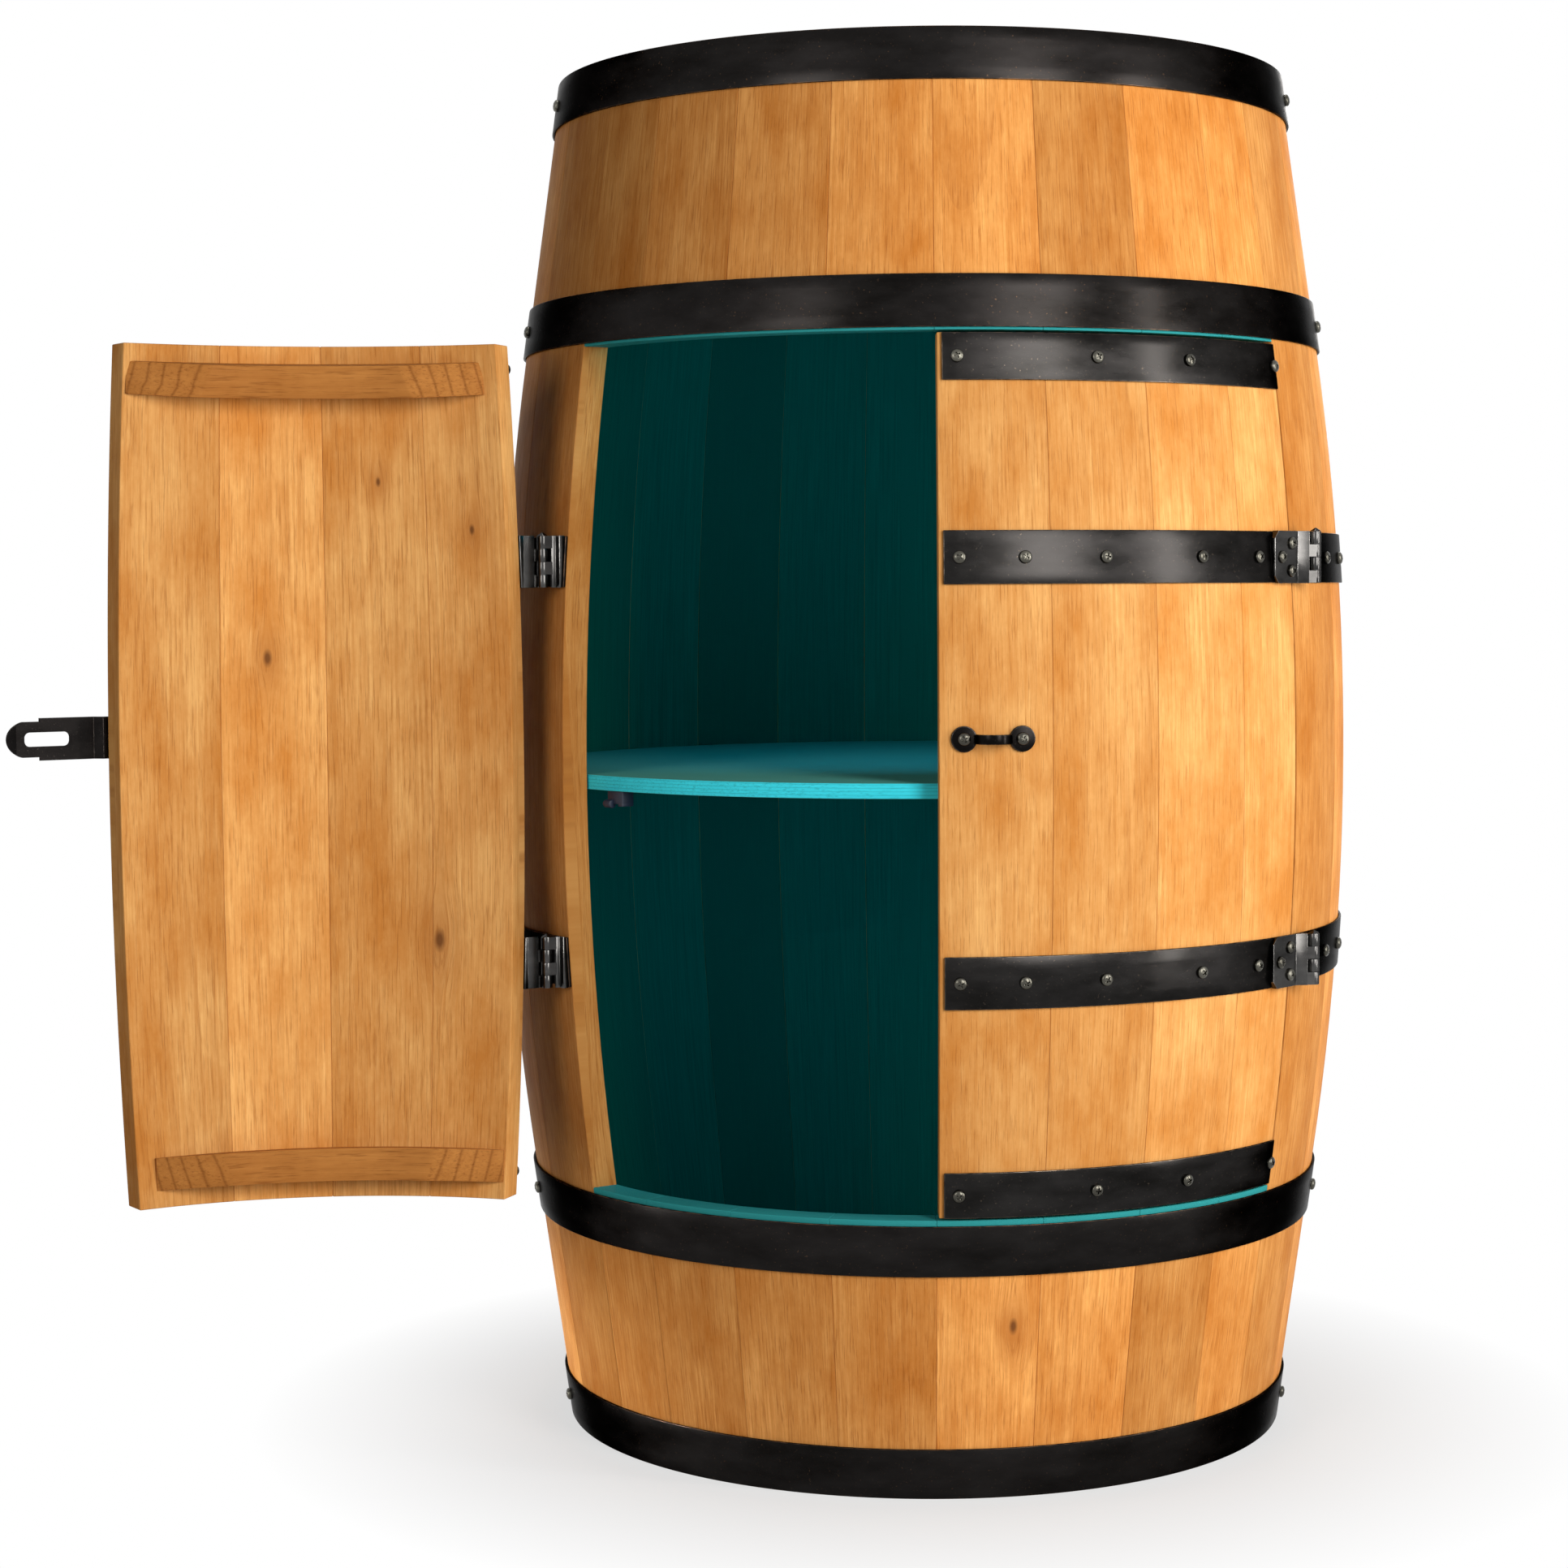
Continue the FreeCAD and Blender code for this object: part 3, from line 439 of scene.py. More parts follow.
steelLook = {"speckShare": 0.25, "relief": (0.08, 0.0002)}
steelFinishes = {
    "hoopSteel": {
        "slot": "hoop_steel", "main": (0.0065, 0.0058, 0.0054), "smear": (0.018, 0.0165, 0.016),
        "edge": (0.16, 0.09, 0.05), "rough": (0.24, 0.36), "speck": 900.0, "grazing": 0.3, "wear": 0.35},
    "bandSteel": {
        "slot": "band_steel", "main": (0.009, 0.0085, 0.008), "smear": (0.026, 0.0245, 0.024),
        "edge": (0.20, 0.15, 0.11), "rough": (0.20, 0.34), "speck": 900.0, "grazing": 0.3, "wear": 0.45},
    "hingeSteel": {
        "slot": "hinge_steel", "main": (0.018, 0.0175, 0.017), "smear": (0.085, 0.083, 0.081),
        "edge": (0.32, 0.31, 0.30), "rough": (0.14, 0.26), "speck": 1500.0, "grazing": 0.4, "wear": 0.45},
    "haspSteel": {
        "slot": "hasp_steel", "main": (0.0045, 0.0040, 0.0038), "smear": (0.011, 0.0098, 0.0095),
        "edge": (0.15, 0.125, 0.11), "rough": (0.22, 0.34), "speck": 1300.0, "grazing": 0.4, "wear": 0.4},
    "screwSteel": {
        "slot": "screw_steel", "main": (0.035, 0.033, 0.027), "smear": (0.13, 0.125, 0.105),
        "edge": (0.42, 0.40, 0.34), "rough": (0.20, 0.38), "speck": 2600.0, "grazing": 1, "wear": 0.7}}


def makeSteel(name, finish):
    material, tree, shader = newMaterial(name)
    mark = attribute(tree, "rub")["Fac"]
    rub = useGroup(tree, rubGroup, Place=objectPlace(tree), Mark=mark, Speck=finish["speck"])
    colour = mixColour(tree, rub["Smear"], finish["main"], finish["smear"])
    colour = cover(tree, colour, rub["Speck"], finish["speckShare"], finish["edge"])
    colour = cover(tree, colour, rub["Edge"], finish["wear"], finish["edge"])
    rough = span(tree, rub["Smear"], 0, 1, *finish["rough"])
    dress(tree, shader, colour, rough, rub["Speck"], *finish["relief"])
    shader.inputs["Metallic"].default_value = 1.0
    plug(tree, [finish["grazing"]] * 3, shader.inputs["Specular Tint"])
    return material


for name, finish in steelFinishes.items():
    finishes[name] = makeSteel(name, steelLook | finish), finish["slot"]


# The strip's milky plastic and the control box's dark plastic

stripLook = {"cloud": (140.0, 2.0), "pale": (0.55, 0.95, 0.95), "deep": (0.45, 0.85, 0.88),
             "glow": (0.04, 0.75, 1.0), "glowDeep": (0.03, 0.62, 0.9), "strength": 3.0, "rough": 0.35}
boxLook = {"slot": "control_box", "fleck": (2400.0, 2.0), "main": (0.004, 0.008, 0.022),
           "pale": (0.010, 0.022, 0.050), "rough": (0.36, 0.5), "relief": (0.15, 0.0001)}


def makeStripMaterial():
    material, tree, shader = newMaterial("stripMilk")
    cloud = noise(tree, objectPlace(tree), *stripLook["cloud"])
    for label, first, second in (("Base Color", "pale", "deep"), ("Emission Color", "glow", "glowDeep")):
        plug(tree, mixColour(tree, cloud, stripLook[first], stripLook[second]), shader.inputs[label])
    shader.inputs["Emission Strength"].default_value = stripLook["strength"]
    shader.inputs["Roughness"].default_value = stripLook["rough"]
    return material


def makeBoxMaterial():
    material, tree, shader = newMaterial("controlPlastic")
    fleck = noise(tree, objectPlace(tree), *boxLook["fleck"])
    colour = mixColour(tree, fleck, boxLook["main"], boxLook["pale"])
    dress(tree, shader, colour, span(tree, fleck, 0, 1, *boxLook["rough"]), fleck, *boxLook["relief"])
    return material


stripMilk = makeStripMaterial()
finishes["controlPlastic"] = makeBoxMaterial(), boxLook["slot"]
print("steel, strip and box materials made")


# The barrel's outline: an arc over the bent part and straight, tangent ends

barrelForm = {"height": 0.8, "bilge": 0.2543, "bend": 1.7, "bentHalf": 0.2365, "thick": 0.016,
              "frontAngle": 14.2, "jambAngle": 11.8, "rearStaves": 17, "rise": 0.02, "edge": 0.00035,
              "grooveClear": 0.004}
middle = barrelForm["height"] / 2
bendAngle = math.asin(barrelForm["bentHalf"] / barrelForm["bend"])
staveJoints = [barrelForm["frontAngle"] * index for index in (1, 2, 3)]
doorwayHalf = staveJoints[-1] + barrelForm["jambAngle"]


def skinAt(z, off=0.0):
    # The radius at a height, some way outside the wood.
    radius = barrelForm["bend"] + off
    reach = radius * math.sin(bendAngle)
    height = abs(z - middle)
    centre = barrelForm["bilge"] - barrelForm["bend"]
    if height <= reach:
        return centre + math.sqrt(radius ** 2 - height ** 2)
    return centre + radius * math.cos(bendAngle) - (height - reach) * math.tan(bendAngle)


def wallAt(z):
    return skinAt(z, -barrelForm["thick"])


def leanAt(z, off):
    radius = barrelForm["bend"] + off
    reach = radius * math.sin(bendAngle)
    return math.asin(max(-reach, min(reach, z - middle)) / radius)


def arcAngle(length):
    return math.degrees(length / barrelForm["bilge"])


def levels(low, high, step):
    count = max(2, round((high - low) / step))
    return [low + (high - low) * index / count for index in range(count + 1)]


def shellSection(low, high, outer, inner, step):
    heights = levels(low, high, step)
    return [(skinAt(z, outer), z) for z in heights] + [(skinAt(z, inner), z) for z in heights[::-1]]


# Solids

def lathe(points, steps, centre=(0, 0, 0), axis=(0, 0, 1), loop=False):
    # Turns a line of points once around. Its ends lie on the axis, or meet in a loop.
    bm = bmesh.new()
    verts = [bm.verts.new(point) for point in points]
    edges = [bm.edges.new(pair) for pair in zip(verts, verts[1:] + verts[:1] * loop)]
    bmesh.ops.spin(bm, geom=verts + edges, cent=centre, axis=axis, angle=math.tau, steps=steps,
                   use_merge=True)
    bmesh.ops.remove_doubles(bm, verts=bm.verts, dist=1e-6)
    bmesh.ops.recalc_face_normals(bm, faces=bm.faces)
    return bm


def sweepRound(section, start, end, step=2.0):
    # A closed section of radius and height pairs is swept from one azimuth to the other.
    bm = bmesh.new()
    verts = [bm.verts.new(around(start, radius, z)) for radius, z in section]
    face = bm.faces.new(verts)
    bmesh.ops.spin(bm, geom=[face] + face.edges[:] + verts, cent=(0, 0, 0), axis=(0, 0, 1),
                   angle=math.radians(end - start), steps=max(1, round(abs(end - start) / step)))
    bmesh.ops.recalc_face_normals(bm, faces=bm.faces)
    return bm


def drawOut(bm, faces, step):
    # Draws faces out along a step, and gives the new end's points and faces.
    grown = bmesh.ops.extrude_face_region(bm, geom=faces)["geom"]
    verts = [g for g in grown if isinstance(g, bmesh.types.BMVert)]
    bmesh.ops.translate(bm, verts=verts, vec=step)
    bmesh.ops.recalc_face_normals(bm, faces=bm.faces)
    return verts, [g for g in grown if isinstance(g, bmesh.types.BMFace)]


def raised(points, height):
    # A flat outline raised into a solid.
    bm = bmesh.new()
    drawOut(bm, [bm.faces.new([bm.verts.new(point) for point in points])], (0, 0, height))
    return bm


def disc(radius, low, thick, segments):
    bm = bmesh.new()
    bmesh.ops.create_circle(bm, cap_ends=True, segments=segments, radius=radius,
                            matrix=Matrix.Translation((0, 0, low)))
    drawOut(bm, bm.faces[:], (0, 0, thick))
    return bm


def cutAway(bm, place, normal):
    # What lies beyond the plane goes, and the cut is closed.
    cut = bmesh.ops.bisect_plane(bm, geom=bm.verts[:] + bm.edges[:] + bm.faces[:], plane_co=place,
                                 plane_no=normal, clear_outer=True)
    rim = [g for g in cut["geom_cut"] if isinstance(g, bmesh.types.BMEdge)]
    bmesh.ops.holes_fill(bm, edges=rim, sides=0)
    bmesh.ops.recalc_face_normals(bm, faces=bm.faces)


def bevelSharp(bm, width, segments=1, limit=38):
    # The new faces are marked in the rub attribute, where paint wears through and stain gathers.
    rub = bm.loops.layers.float.get("rub") or bm.loops.layers.float.new("rub")
    edges = [e for e in bm.edges if len(e.link_faces) == 2 and e.calc_face_angle() > math.radians(limit)]
    made = bmesh.ops.bevel(bm, geom=edges, offset=width, offset_type="OFFSET", affect="EDGES",
                           segments=segments, profile=0.5, material=-1, clamp_overlap=True)
    for face in made["faces"]:
        for loop in face.loops:
            loop[rub] = 1.0


def gather(parts):
    # Joins finished solids into one mesh.
    whole = bmesh.new()
    for part in parts:
        mesh = bpy.data.meshes.new("part")
        part.to_mesh(mesh)
        part.free()
        whole.from_mesh(mesh)
        bpy.data.meshes.remove(mesh)
    return whole


def meshObject(bm, name):
    mesh = bpy.data.meshes.new(name)
    bm.to_mesh(mesh)
    bm.free()
    return addObject(name, mesh)


def camel(node):
    first, *rest = node.split("_")
    return first + "".join(word.capitalize() for word in rest)


def settle(bm, body, finish, node, smooth=32, name=None):
    # A piece is named after its node, unless it has a name of its own.
    piece = meshObject(bm, name or camel(node))
    material, slotName = finishes[finish]
    piece.data.shade_smooth()
    piece.data.set_sharp_from_angle(angle=math.radians(smooth))
    piece.data.materials.append(material)
    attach(piece, body)
    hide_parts(node)


boardChance = random.Random(41)


def markGrain(bm, toGrain):
    grain = bm.verts.layers.float_vector.new("grain")
    tint = bm.verts.layers.float_color.new("tint")
    ownTint = (boardChance.random(), boardChance.random(), boardChance.random(), 1.0)
    for vert in bm.verts:
        vert[grain] = toGrain(vert.co)
        vert[tint] = ownTint


def azimuthOf(co):
    return math.atan2(co.x, -co.y)


def radiusOf(co):
    return math.hypot(co.x, co.y)


# Staves

headForm = {"thick": 0.016, "tongue": 0.006, "groove": 0.005, "fit": 0.0003, "topRecess": 0.020,
            "bottomRecess": 0.014, "boards": 6, "turns": 120, "edge": 0.0004}
topHead = barrelForm["height"] - headForm["topRecess"] - headForm["thick"]
bottomHead = headForm["bottomRecess"]


def tongueOf(head):
    # The tongue's underside and top, and the radius at the groove's floor.
    bottom = head + (headForm["thick"] - headForm["tongue"]) / 2
    return bottom, bottom + headForm["tongue"], wallAt(bottom + headForm["tongue"] / 2) + headForm["groove"]


def staveSection(low, high):
    heights = levels(low, high, barrelForm["rise"])
    inner = [(wallAt(z), z) for z in heights]
    for bottom, top, deep in (tongueOf(bottomHead), tongueOf(topHead)):
        if low < bottom < high:
            below = [p for p in inner if p[1] <= bottom - barrelForm["grooveClear"]]
            above = [p for p in inner if p[1] >= top + barrelForm["grooveClear"]]
            groove = [(wallAt(bottom), bottom), (deep, bottom), (deep, top), (wallAt(top), top)]
            inner = below + groove + above
    return [(skinAt(z), z) for z in heights] + inner[::-1]


def makeStave(low, high, start, end):
    bm = sweepRound(staveSection(low, high), start, end)
    bevelSharp(bm, barrelForm["edge"])
    markGrain(bm, lambda co: Vector((azimuthOf(co) * barrelForm["bilge"], skinAt(co.z) - radiusOf(co), co.z)))
    return bm


def frontRun(low, high, first, last, sides):
    runs = []
    for side in sides:
        bounds = [side * angle for angle in [first] + staveJoints + [last]]
        runs += [makeStave(low, high, min(pair), max(pair)) for pair in zip(bounds, bounds[1:])]
    return gather(runs)


def makeFrontStaves(node, low, high):
    run = frontRun(low, high, 0, doorwayHalf, (-1, 1))
    # The lit mark tells the wood material where to paint teal glow on the doorway's rims.
    lit = run.verts.layers.float.new("lit")
    for vert in run.verts:
        vert[lit] = 1.0
    settle(run, "barrel", "staveWood", node)


hoopForm = {"width": 0.0286, "thick": 0.0015, "fit": 0.0003, "edge": 0.0004, "rise": 0.007, "turns": 180,
            "sharp": 50}
fullHoops = {"top_chime_hoop": 0.7857, "upper_quarter_hoop": 0.6527, "lower_quarter_hoop": 0.1415,
             "bottom_chime_hoop": 0.0143}
openHoops = {"upper_bilge_hoop": 0.5162, "lower_bilge_hoop": 0.2894}
hoopOut = hoopForm["fit"] + hoopForm["thick"]
doorForm = {"lintelLip": 0.0015, "sillLip": 0.003, "endGap": 0.0014, "meetingGap": 0.0027, "jambGap": 0.0013}
lintel = fullHoops["upper_quarter_hoop"] - hoopForm["width"] / 2 - doorForm["lintelLip"]
sill = fullHoops["lower_quarter_hoop"] + hoopForm["width"] / 2 + doorForm["sillLip"]

rearStep = (360 - 2 * doorwayHalf) / barrelForm["rearStaves"]
for index in range(barrelForm["rearStaves"]):
    start = doorwayHalf + index * rearStep
    stave = makeStave(0.0, barrelForm["height"], start, start + rearStep)
    settle(stave, "barrel", "staveWood", f"stave_{index + 1:02d}")
makeFrontStaves("upper_front_staves", lintel, barrelForm["height"])
makeFrontStaves("lower_front_staves", 0, sill)
print("staves made")


# Hoops

def steelStrip(low, high, start, end):
    section = shellSection(low, high, hoopOut, hoopForm["fit"], hoopForm["rise"])
    if end - start < 360:
        bm = sweepRound(section, start, end)
    else:
        bm = lathe([around(0, radius, z) for radius, z in section], hoopForm["turns"], loop=True)
    bevelSharp(bm, hoopForm["edge"], 2)
    return bm


def hoopSpan(z):
    return z - hoopForm["width"] / 2, z + hoopForm["width"] / 2


for hoops, start, end in ((fullHoops, 0, 360), (openHoops, doorwayHalf, 360 - doorwayHalf)):
    for node, z in hoops.items():
        settle(steelStrip(*hoopSpan(z), start, end), "barrel", "hoopSteel", node, hoopForm["sharp"])
print("hoops made")


# Heads, shelf and cleats

def makeHead(node, low, finish):
    high = low + headForm["thick"]
    radius = min(wallAt(low), wallAt(high)) - headForm["fit"]
    bottom, top, reach = tongueOf(low)
    reach -= headForm["fit"]
    line = [(0, low), (radius, low), (radius, bottom), (reach, bottom),
            (reach, top), (radius, top), (radius, high), (0, high)]
    width = 2 * reach / headForm["boards"]
    boards = []
    for index in range(headForm["boards"]):
        bm = lathe([around(0, r, z) for r, z in line], headForm["turns"])
        left = index * width - reach
        if index > 0:
            cutAway(bm, (left, 0, 0), (-1, 0, 0))
        if index < headForm["boards"] - 1:
            cutAway(bm, (left + width, 0, 0), (1, 0, 0))
        bevelSharp(bm, headForm["edge"])
        markGrain(bm, lambda co: Vector((co.x - left - width / 2, high - co.z, co.y)))
        boards.append(bm)
    settle(gather(boards), "barrel", finish, node)


makeHead("top_head", topHead, "headWood")
makeHead("bottom_head", bottomHead, "floorWoodPaintedGlow")

shelfForm = {"top": 0.3957, "thick": 0.0085, "gap": 0.001, "edge": 0.0006, "segments": 180}
cleatForm = {"depth": 0.012, "height": 0.018, "length": 0.040, "azimuths": (75, 140, 220, 285),
             "seat": 0.00005, "edge": 0.0008, "rise": 0.009, "grainRadius": 0.25}
shelfBottom = shelfForm["top"] - shelfForm["thick"]
shelfRadius = wallAt(shelfForm["top"]) - shelfForm["gap"]


def makeShelf():
    bm = disc(shelfRadius, shelfBottom, shelfForm["thick"], shelfForm["segments"])
    bevelSharp(bm, shelfForm["edge"], 2)
    markGrain(bm, lambda co: Vector((co.y, shelfForm["top"] - co.z, co.x)))
    settle(bm, "barrel", "shelfPly", "middle_shelf")


def cleatGrain(co):
    return Vector((co.z, skinAt(co.z) - radiusOf(co), azimuthOf(co) * cleatForm["grainRadius"]))


def makeCleats():
    half = arcAngle(cleatForm["length"] / 2)
    outer, inner = (-barrelForm["thick"] - depth for depth in (cleatForm["seat"], cleatForm["depth"]))
    section = shellSection(shelfBottom - cleatForm["height"], shelfBottom, outer, inner, cleatForm["rise"])
    cleats = []
    for azimuth in cleatForm["azimuths"]:
        bm = sweepRound(section, azimuth - half, azimuth + half)
        bevelSharp(bm, cleatForm["edge"], 2)
        markGrain(bm, cleatGrain)
        cleats.append(bm)
    settle(gather(cleats), "barrel", "cleatWoodPaintedGlow", "shelf_supports", name="shelfCleats")


makeShelf()
makeCleats()
print("heads, shelf and cleats made")


# Doors. They are made closed, and the left one is then turned about its hinge pins.

hingeForm = {"length": 0.0292, "knuckle": 0.0031, "stand": 0.008, "setback": 0.008, "pin": 0.0015,
             "fit": 0.00003, "gap": 0.0003, "cap": 0.0018, "thick": 0.0013, "seat": 0.00005,
             "seatDepth": 0.0004, "flangeGap": 0.0008, "webClear": 0.001, "rampSolid": 0.0048,
             "leafWidth": 0.0246, "corner": 0.004, "screwInset": 0.0069, "screwSpread": 0.0077,
             "edgeScrewInset": 0.0073, "edgeGap": 0.0005, "edge": 0.00022, "fingerEdge": 0.000154,
             "leafSharp": 12, "joined": 0.0004, "knuckles": 4, "turns": 32,
             "opening": {"left": 145, "right": 0}}
hingeReach = max(skinAt(min(max(middle, z - hingeForm["length"] / 2), z + hingeForm["length"] / 2), hoopOut)
                 for z in openHoops.values())
pinReach = hingeReach + hingeForm["stand"]
pinAzimuth = doorwayHalf + arcAngle(hingeForm["setback"])
doorTop = lintel - doorForm["endGap"]
doorBottom = sill + doorForm["endGap"]
freeEdge = arcAngle(doorForm["meetingGap"] / 2)
hingeEdge = doorwayHalf - arcAngle(doorForm["jambGap"])
doorSides = {"left": -1, "right": 1}

bandForm = {"endWidth": 0.0254, "freeInset": 0.0027, "hingeInset": 0.0009}
ribForm = {"thick": 0.018, "depth": 0.017, "fromEnd": 0.0185, "tip": 0.009, "taper": 0.026, "seat": 0.00005,
           "edge": 0.0012, "sharp": 20, "top": (0.0018, 0.0093), "bottom": (0.012, 0.0013)}


def hang(bm, door, finish, node, smooth=32, name=None, body=None):
    side = doorSides[door]
    turn = Matrix.Rotation(math.radians(side * hingeForm["opening"][door]), 3, "Z")
    bmesh.ops.rotate(bm, verts=bm.verts, cent=around(side * pinAzimuth, pinReach, 0), matrix=turn)
    settle(bm, body or door + "_door", finish, node, smooth, name)


def makeBand(side, low, high):
    free = freeEdge + arcAngle(bandForm["freeInset"])
    last = hingeEdge - arcAngle(bandForm["hingeInset"])
    return steelStrip(low, high, *sorted((side * free, side * last)))


def makeRib(side, z, insets):
    # The ends taper from a thin tip to the full depth.
    free = freeEdge + arcAngle(insets[0])
    last = hingeEdge - arcAngle(insets[1])
    slope = leanAt(z, -barrelForm["thick"])
    wall = wallAt(z)
    half, seat, depth = ribForm["thick"] / 2, ribForm["seat"], ribForm["depth"]

    def corner(deep, rise):
        return (wall - deep * math.cos(slope) - rise * math.sin(slope),
                z - deep * math.sin(slope) + rise * math.cos(slope))

    def ribGrain(co):
        inward, rise = wall - radiusOf(co), co.z - z
        return Vector((inward * math.sin(slope) + rise * math.cos(slope),
                       inward * math.cos(slope) - rise * math.sin(slope), azimuthOf(co) * wall))

    section = [corner(seat, -half), corner(depth, -half), corner(depth, half), corner(seat, half)]
    bm = sweepRound(section, *sorted((side * free, side * last)))
    for azimuth, inward in ((free, 1), (last, -1)):
        tip = around(side * azimuth, wall - ribForm["tip"], z)
        shoulder = around(side * (azimuth + inward * arcAngle(ribForm["taper"])), wall - depth, z)
        normal = (shoulder - tip).cross(Vector((0, 0, 1)))
        cutAway(bm, tip, -normal if normal.dot(tip) > 0 else normal)
    bevelSharp(bm, ribForm["edge"], 2, ribForm["sharp"])
    markGrain(bm, ribGrain)
    return bm


def makeDoor(door, side):
    boards = frontRun(doorBottom, doorTop, freeEdge, hingeEdge, (side,))
    ribs = gather([makeRib(side, doorTop - ribForm["fromEnd"], ribForm["top"]),
                   makeRib(side, doorBottom + ribForm["fromEnd"], ribForm["bottom"])])
    bands = {"top": (doorTop - bandForm["endWidth"], doorTop),
             "upper_bilge": hoopSpan(openHoops["upper_bilge_hoop"]),
             "lower_bilge": hoopSpan(openHoops["lower_bilge_hoop"]),
             "bottom": (doorBottom, doorBottom + bandForm["endWidth"])}
    hang(boards, door, "doorWood", door + "_door_staves", name=door + "DoorBoards")
    hang(ribs, door, "ribPly", door + "_door_ribs")
    for band, (low, high) in bands.items():
        hang(makeBand(side, low, high), door, "bandSteel", f"{door}_{band}_band", hoopForm["sharp"])


for door, side in doorSides.items():
    makeDoor(door, side)
print("doors made")


# Screws: a pan head with a cross recess over a plain pointed shank

screwForm = {"head": 0.0035, "crown": 0.0026, "rim": 0.0009, "shank": 0.00175, "length": 0.013, "tip": 0.003,
             "seat": 0.00005, "turns": 28, "domeSteps": 8, "armLong": 0.0041, "armWide": 0.0010,
             "recess": 0.0015, "recessTaper": 0.62, "above": 0.0004, "edge": 0.00012, "sharp": 40,
             "free": 0.0112, "hinge": 0.004, "joint": 0.0148, "fullHoop": (0.1093,),
             "openHoop": (0.0502, 0.0893), "rear": 150}


def makeScrewBlank():
    crown, rim, head = screwForm["crown"], screwForm["rim"], screwForm["head"]
    shank, length = screwForm["shank"], screwForm["length"]
    line = [(0, -length), (shank, screwForm["tip"] - length), (shank, 0), (head, 0)]
    for step in range(screwForm["domeSteps"] + 1):
        angle = math.radians(90 * step / screwForm["domeSteps"])
        line.append((head * math.cos(angle), rim + (crown - rim) * math.sin(angle)))
    return meshObject(lathe([(radius, 0, z) for radius, z in line], screwForm["turns"]), "screwBlank")


def makeCrossTool():
    bm = bmesh.new()
    long, wide, above = screwForm["armLong"] / 2, screwForm["armWide"] / 2, screwForm["above"]
    corners = [(long, wide), (wide, wide), (wide, long), (-wide, long), (-wide, wide), (-long, wide)]
    corners += [(-x, -y) for x, y in corners]
    top = bm.faces.new([bm.verts.new((x, y, screwForm["crown"] + above)) for x, y in corners])
    low = drawOut(bm, [top], (0, 0, -screwForm["recess"] - above))[0]
    bmesh.ops.scale(bm, verts=low, vec=(screwForm["recessTaper"], screwForm["recessTaper"], 1))
    return meshObject(bm, "crossTool")


def makeScrewMesh():
    blank, tool = makeScrewBlank(), makeCrossTool()
    cut = blank.modifiers.new("cross", "BOOLEAN")
    cut.operation = "DIFFERENCE"
    cut.object = tool
    mesh = bpy.data.meshes.new_from_object(blank.evaluated_get(bpy.context.evaluated_depsgraph_get()))
    bpy.data.objects.remove(blank)
    bpy.data.objects.remove(tool)
    bm = bmesh.new()
    bm.from_mesh(mesh)
    bevelSharp(bm, screwForm["edge"], 1, screwForm["sharp"])
    bm.to_mesh(mesh)
    bm.free()
    return mesh


screwMesh = makeScrewMesh()


def skinSeat(azimuth, z, off):
    slope = leanAt(z, off)
    normal = around(azimuth, math.cos(slope), math.sin(slope))
    return around(azimuth, skinAt(z, off), z) + normal * screwForm["seat"], normal


def seatMatrix(point, normal):
    return Matrix.Translation(point) @ Vector((0, 0, 1)).rotation_difference(normal).to_matrix().to_4x4()


def makeScrews(seats):
    bm = bmesh.new()
    for point, normal in seats:
        before = set(bm.verts)
        bm.from_mesh(screwMesh)
        fresh = [v for v in bm.verts if v not in before]
        spin = Matrix.Rotation(boardChance.random() * math.pi, 4, "Z")
        bmesh.ops.transform(bm, verts=fresh, matrix=seatMatrix(point, normal) @ spin)
    return bm


def hoopSeats():
    seats = []
    for hoops, setbacks in ((fullHoops, screwForm["fullHoop"]), (openHoops, screwForm["openHoop"])):
        azimuths = [doorwayHalf + arcAngle(setback) for setback in setbacks] + [screwForm["rear"]]
        for z in hoops.values():
            seats += [skinSeat(side * azimuth, z, hoopOut) for azimuth in azimuths for side in (-1, 1)]
    return seats


def bandSeats(side):
    # Beside the joints on the wide bands, and in the middle of the boards between them.
    first = freeEdge + arcAngle(screwForm["free"])
    middles = [(a + b) / 2 for a, b in zip(staveJoints, staveJoints[1:])]
    ends = [first] + middles + [hingeEdge - arcAngle(screwForm["hinge"])]
    beside = arcAngle(screwForm["joint"])
    bilge = [first, staveJoints[0] - beside] + middles + [staveJoints[-1] + beside]
    half = bandForm["endWidth"] / 2
    rows = [(doorTop - half, ends), (doorBottom + half, ends)] + [(z, bilge) for z in openHoops.values()]
    return [skinSeat(side * azimuth, z, hoopOut) for z, azimuths in rows for azimuth in azimuths]


# Hinges. Plan points are taken from the pin: t towards the doorway and n outwards.

rampLength = hingeForm["setback"] + doorForm["jambGap"] + hingeForm["edgeGap"]
leafTop = hingeReach + hingeForm["seat"] + hingeForm["thick"] - pinReach
segment = hingeForm["length"] / hingeForm["knuckles"]


def hingeSpot(side, t, n, z):
    along = around(side * pinAzimuth + 90, 1, 0) * -side
    return around(side * pinAzimuth, pinReach + n, z) + along * t


def tangentSpots(t, n):
    # Where a leaf leaves its knuckles for a point, on both of its faces.
    angle = math.atan2(n, t) + math.acos(hingeForm["knuckle"] / math.hypot(t, n))
    away = Vector((math.cos(angle), math.sin(angle)))
    touch = away * hingeForm["knuckle"]
    return touch, touch - away * hingeForm["thick"], Vector((t, n)) - away * hingeForm["thick"]


def leafEnds():
    # The flat of the door leaf touches the band at its own middle.
    turn = (rampLength + hingeForm["leafWidth"] / 2) / pinReach
    along = Vector((math.cos(turn), -math.sin(turn)))
    inward = Vector((-math.sin(turn), -math.cos(turn)))
    centre = -inward * (hingeReach + hingeForm["seat"] + hingeForm["thick"]) - Vector((0, pinReach))
    reach = along * hingeForm["leafWidth"] / 2
    return centre - reach, centre + reach, inward


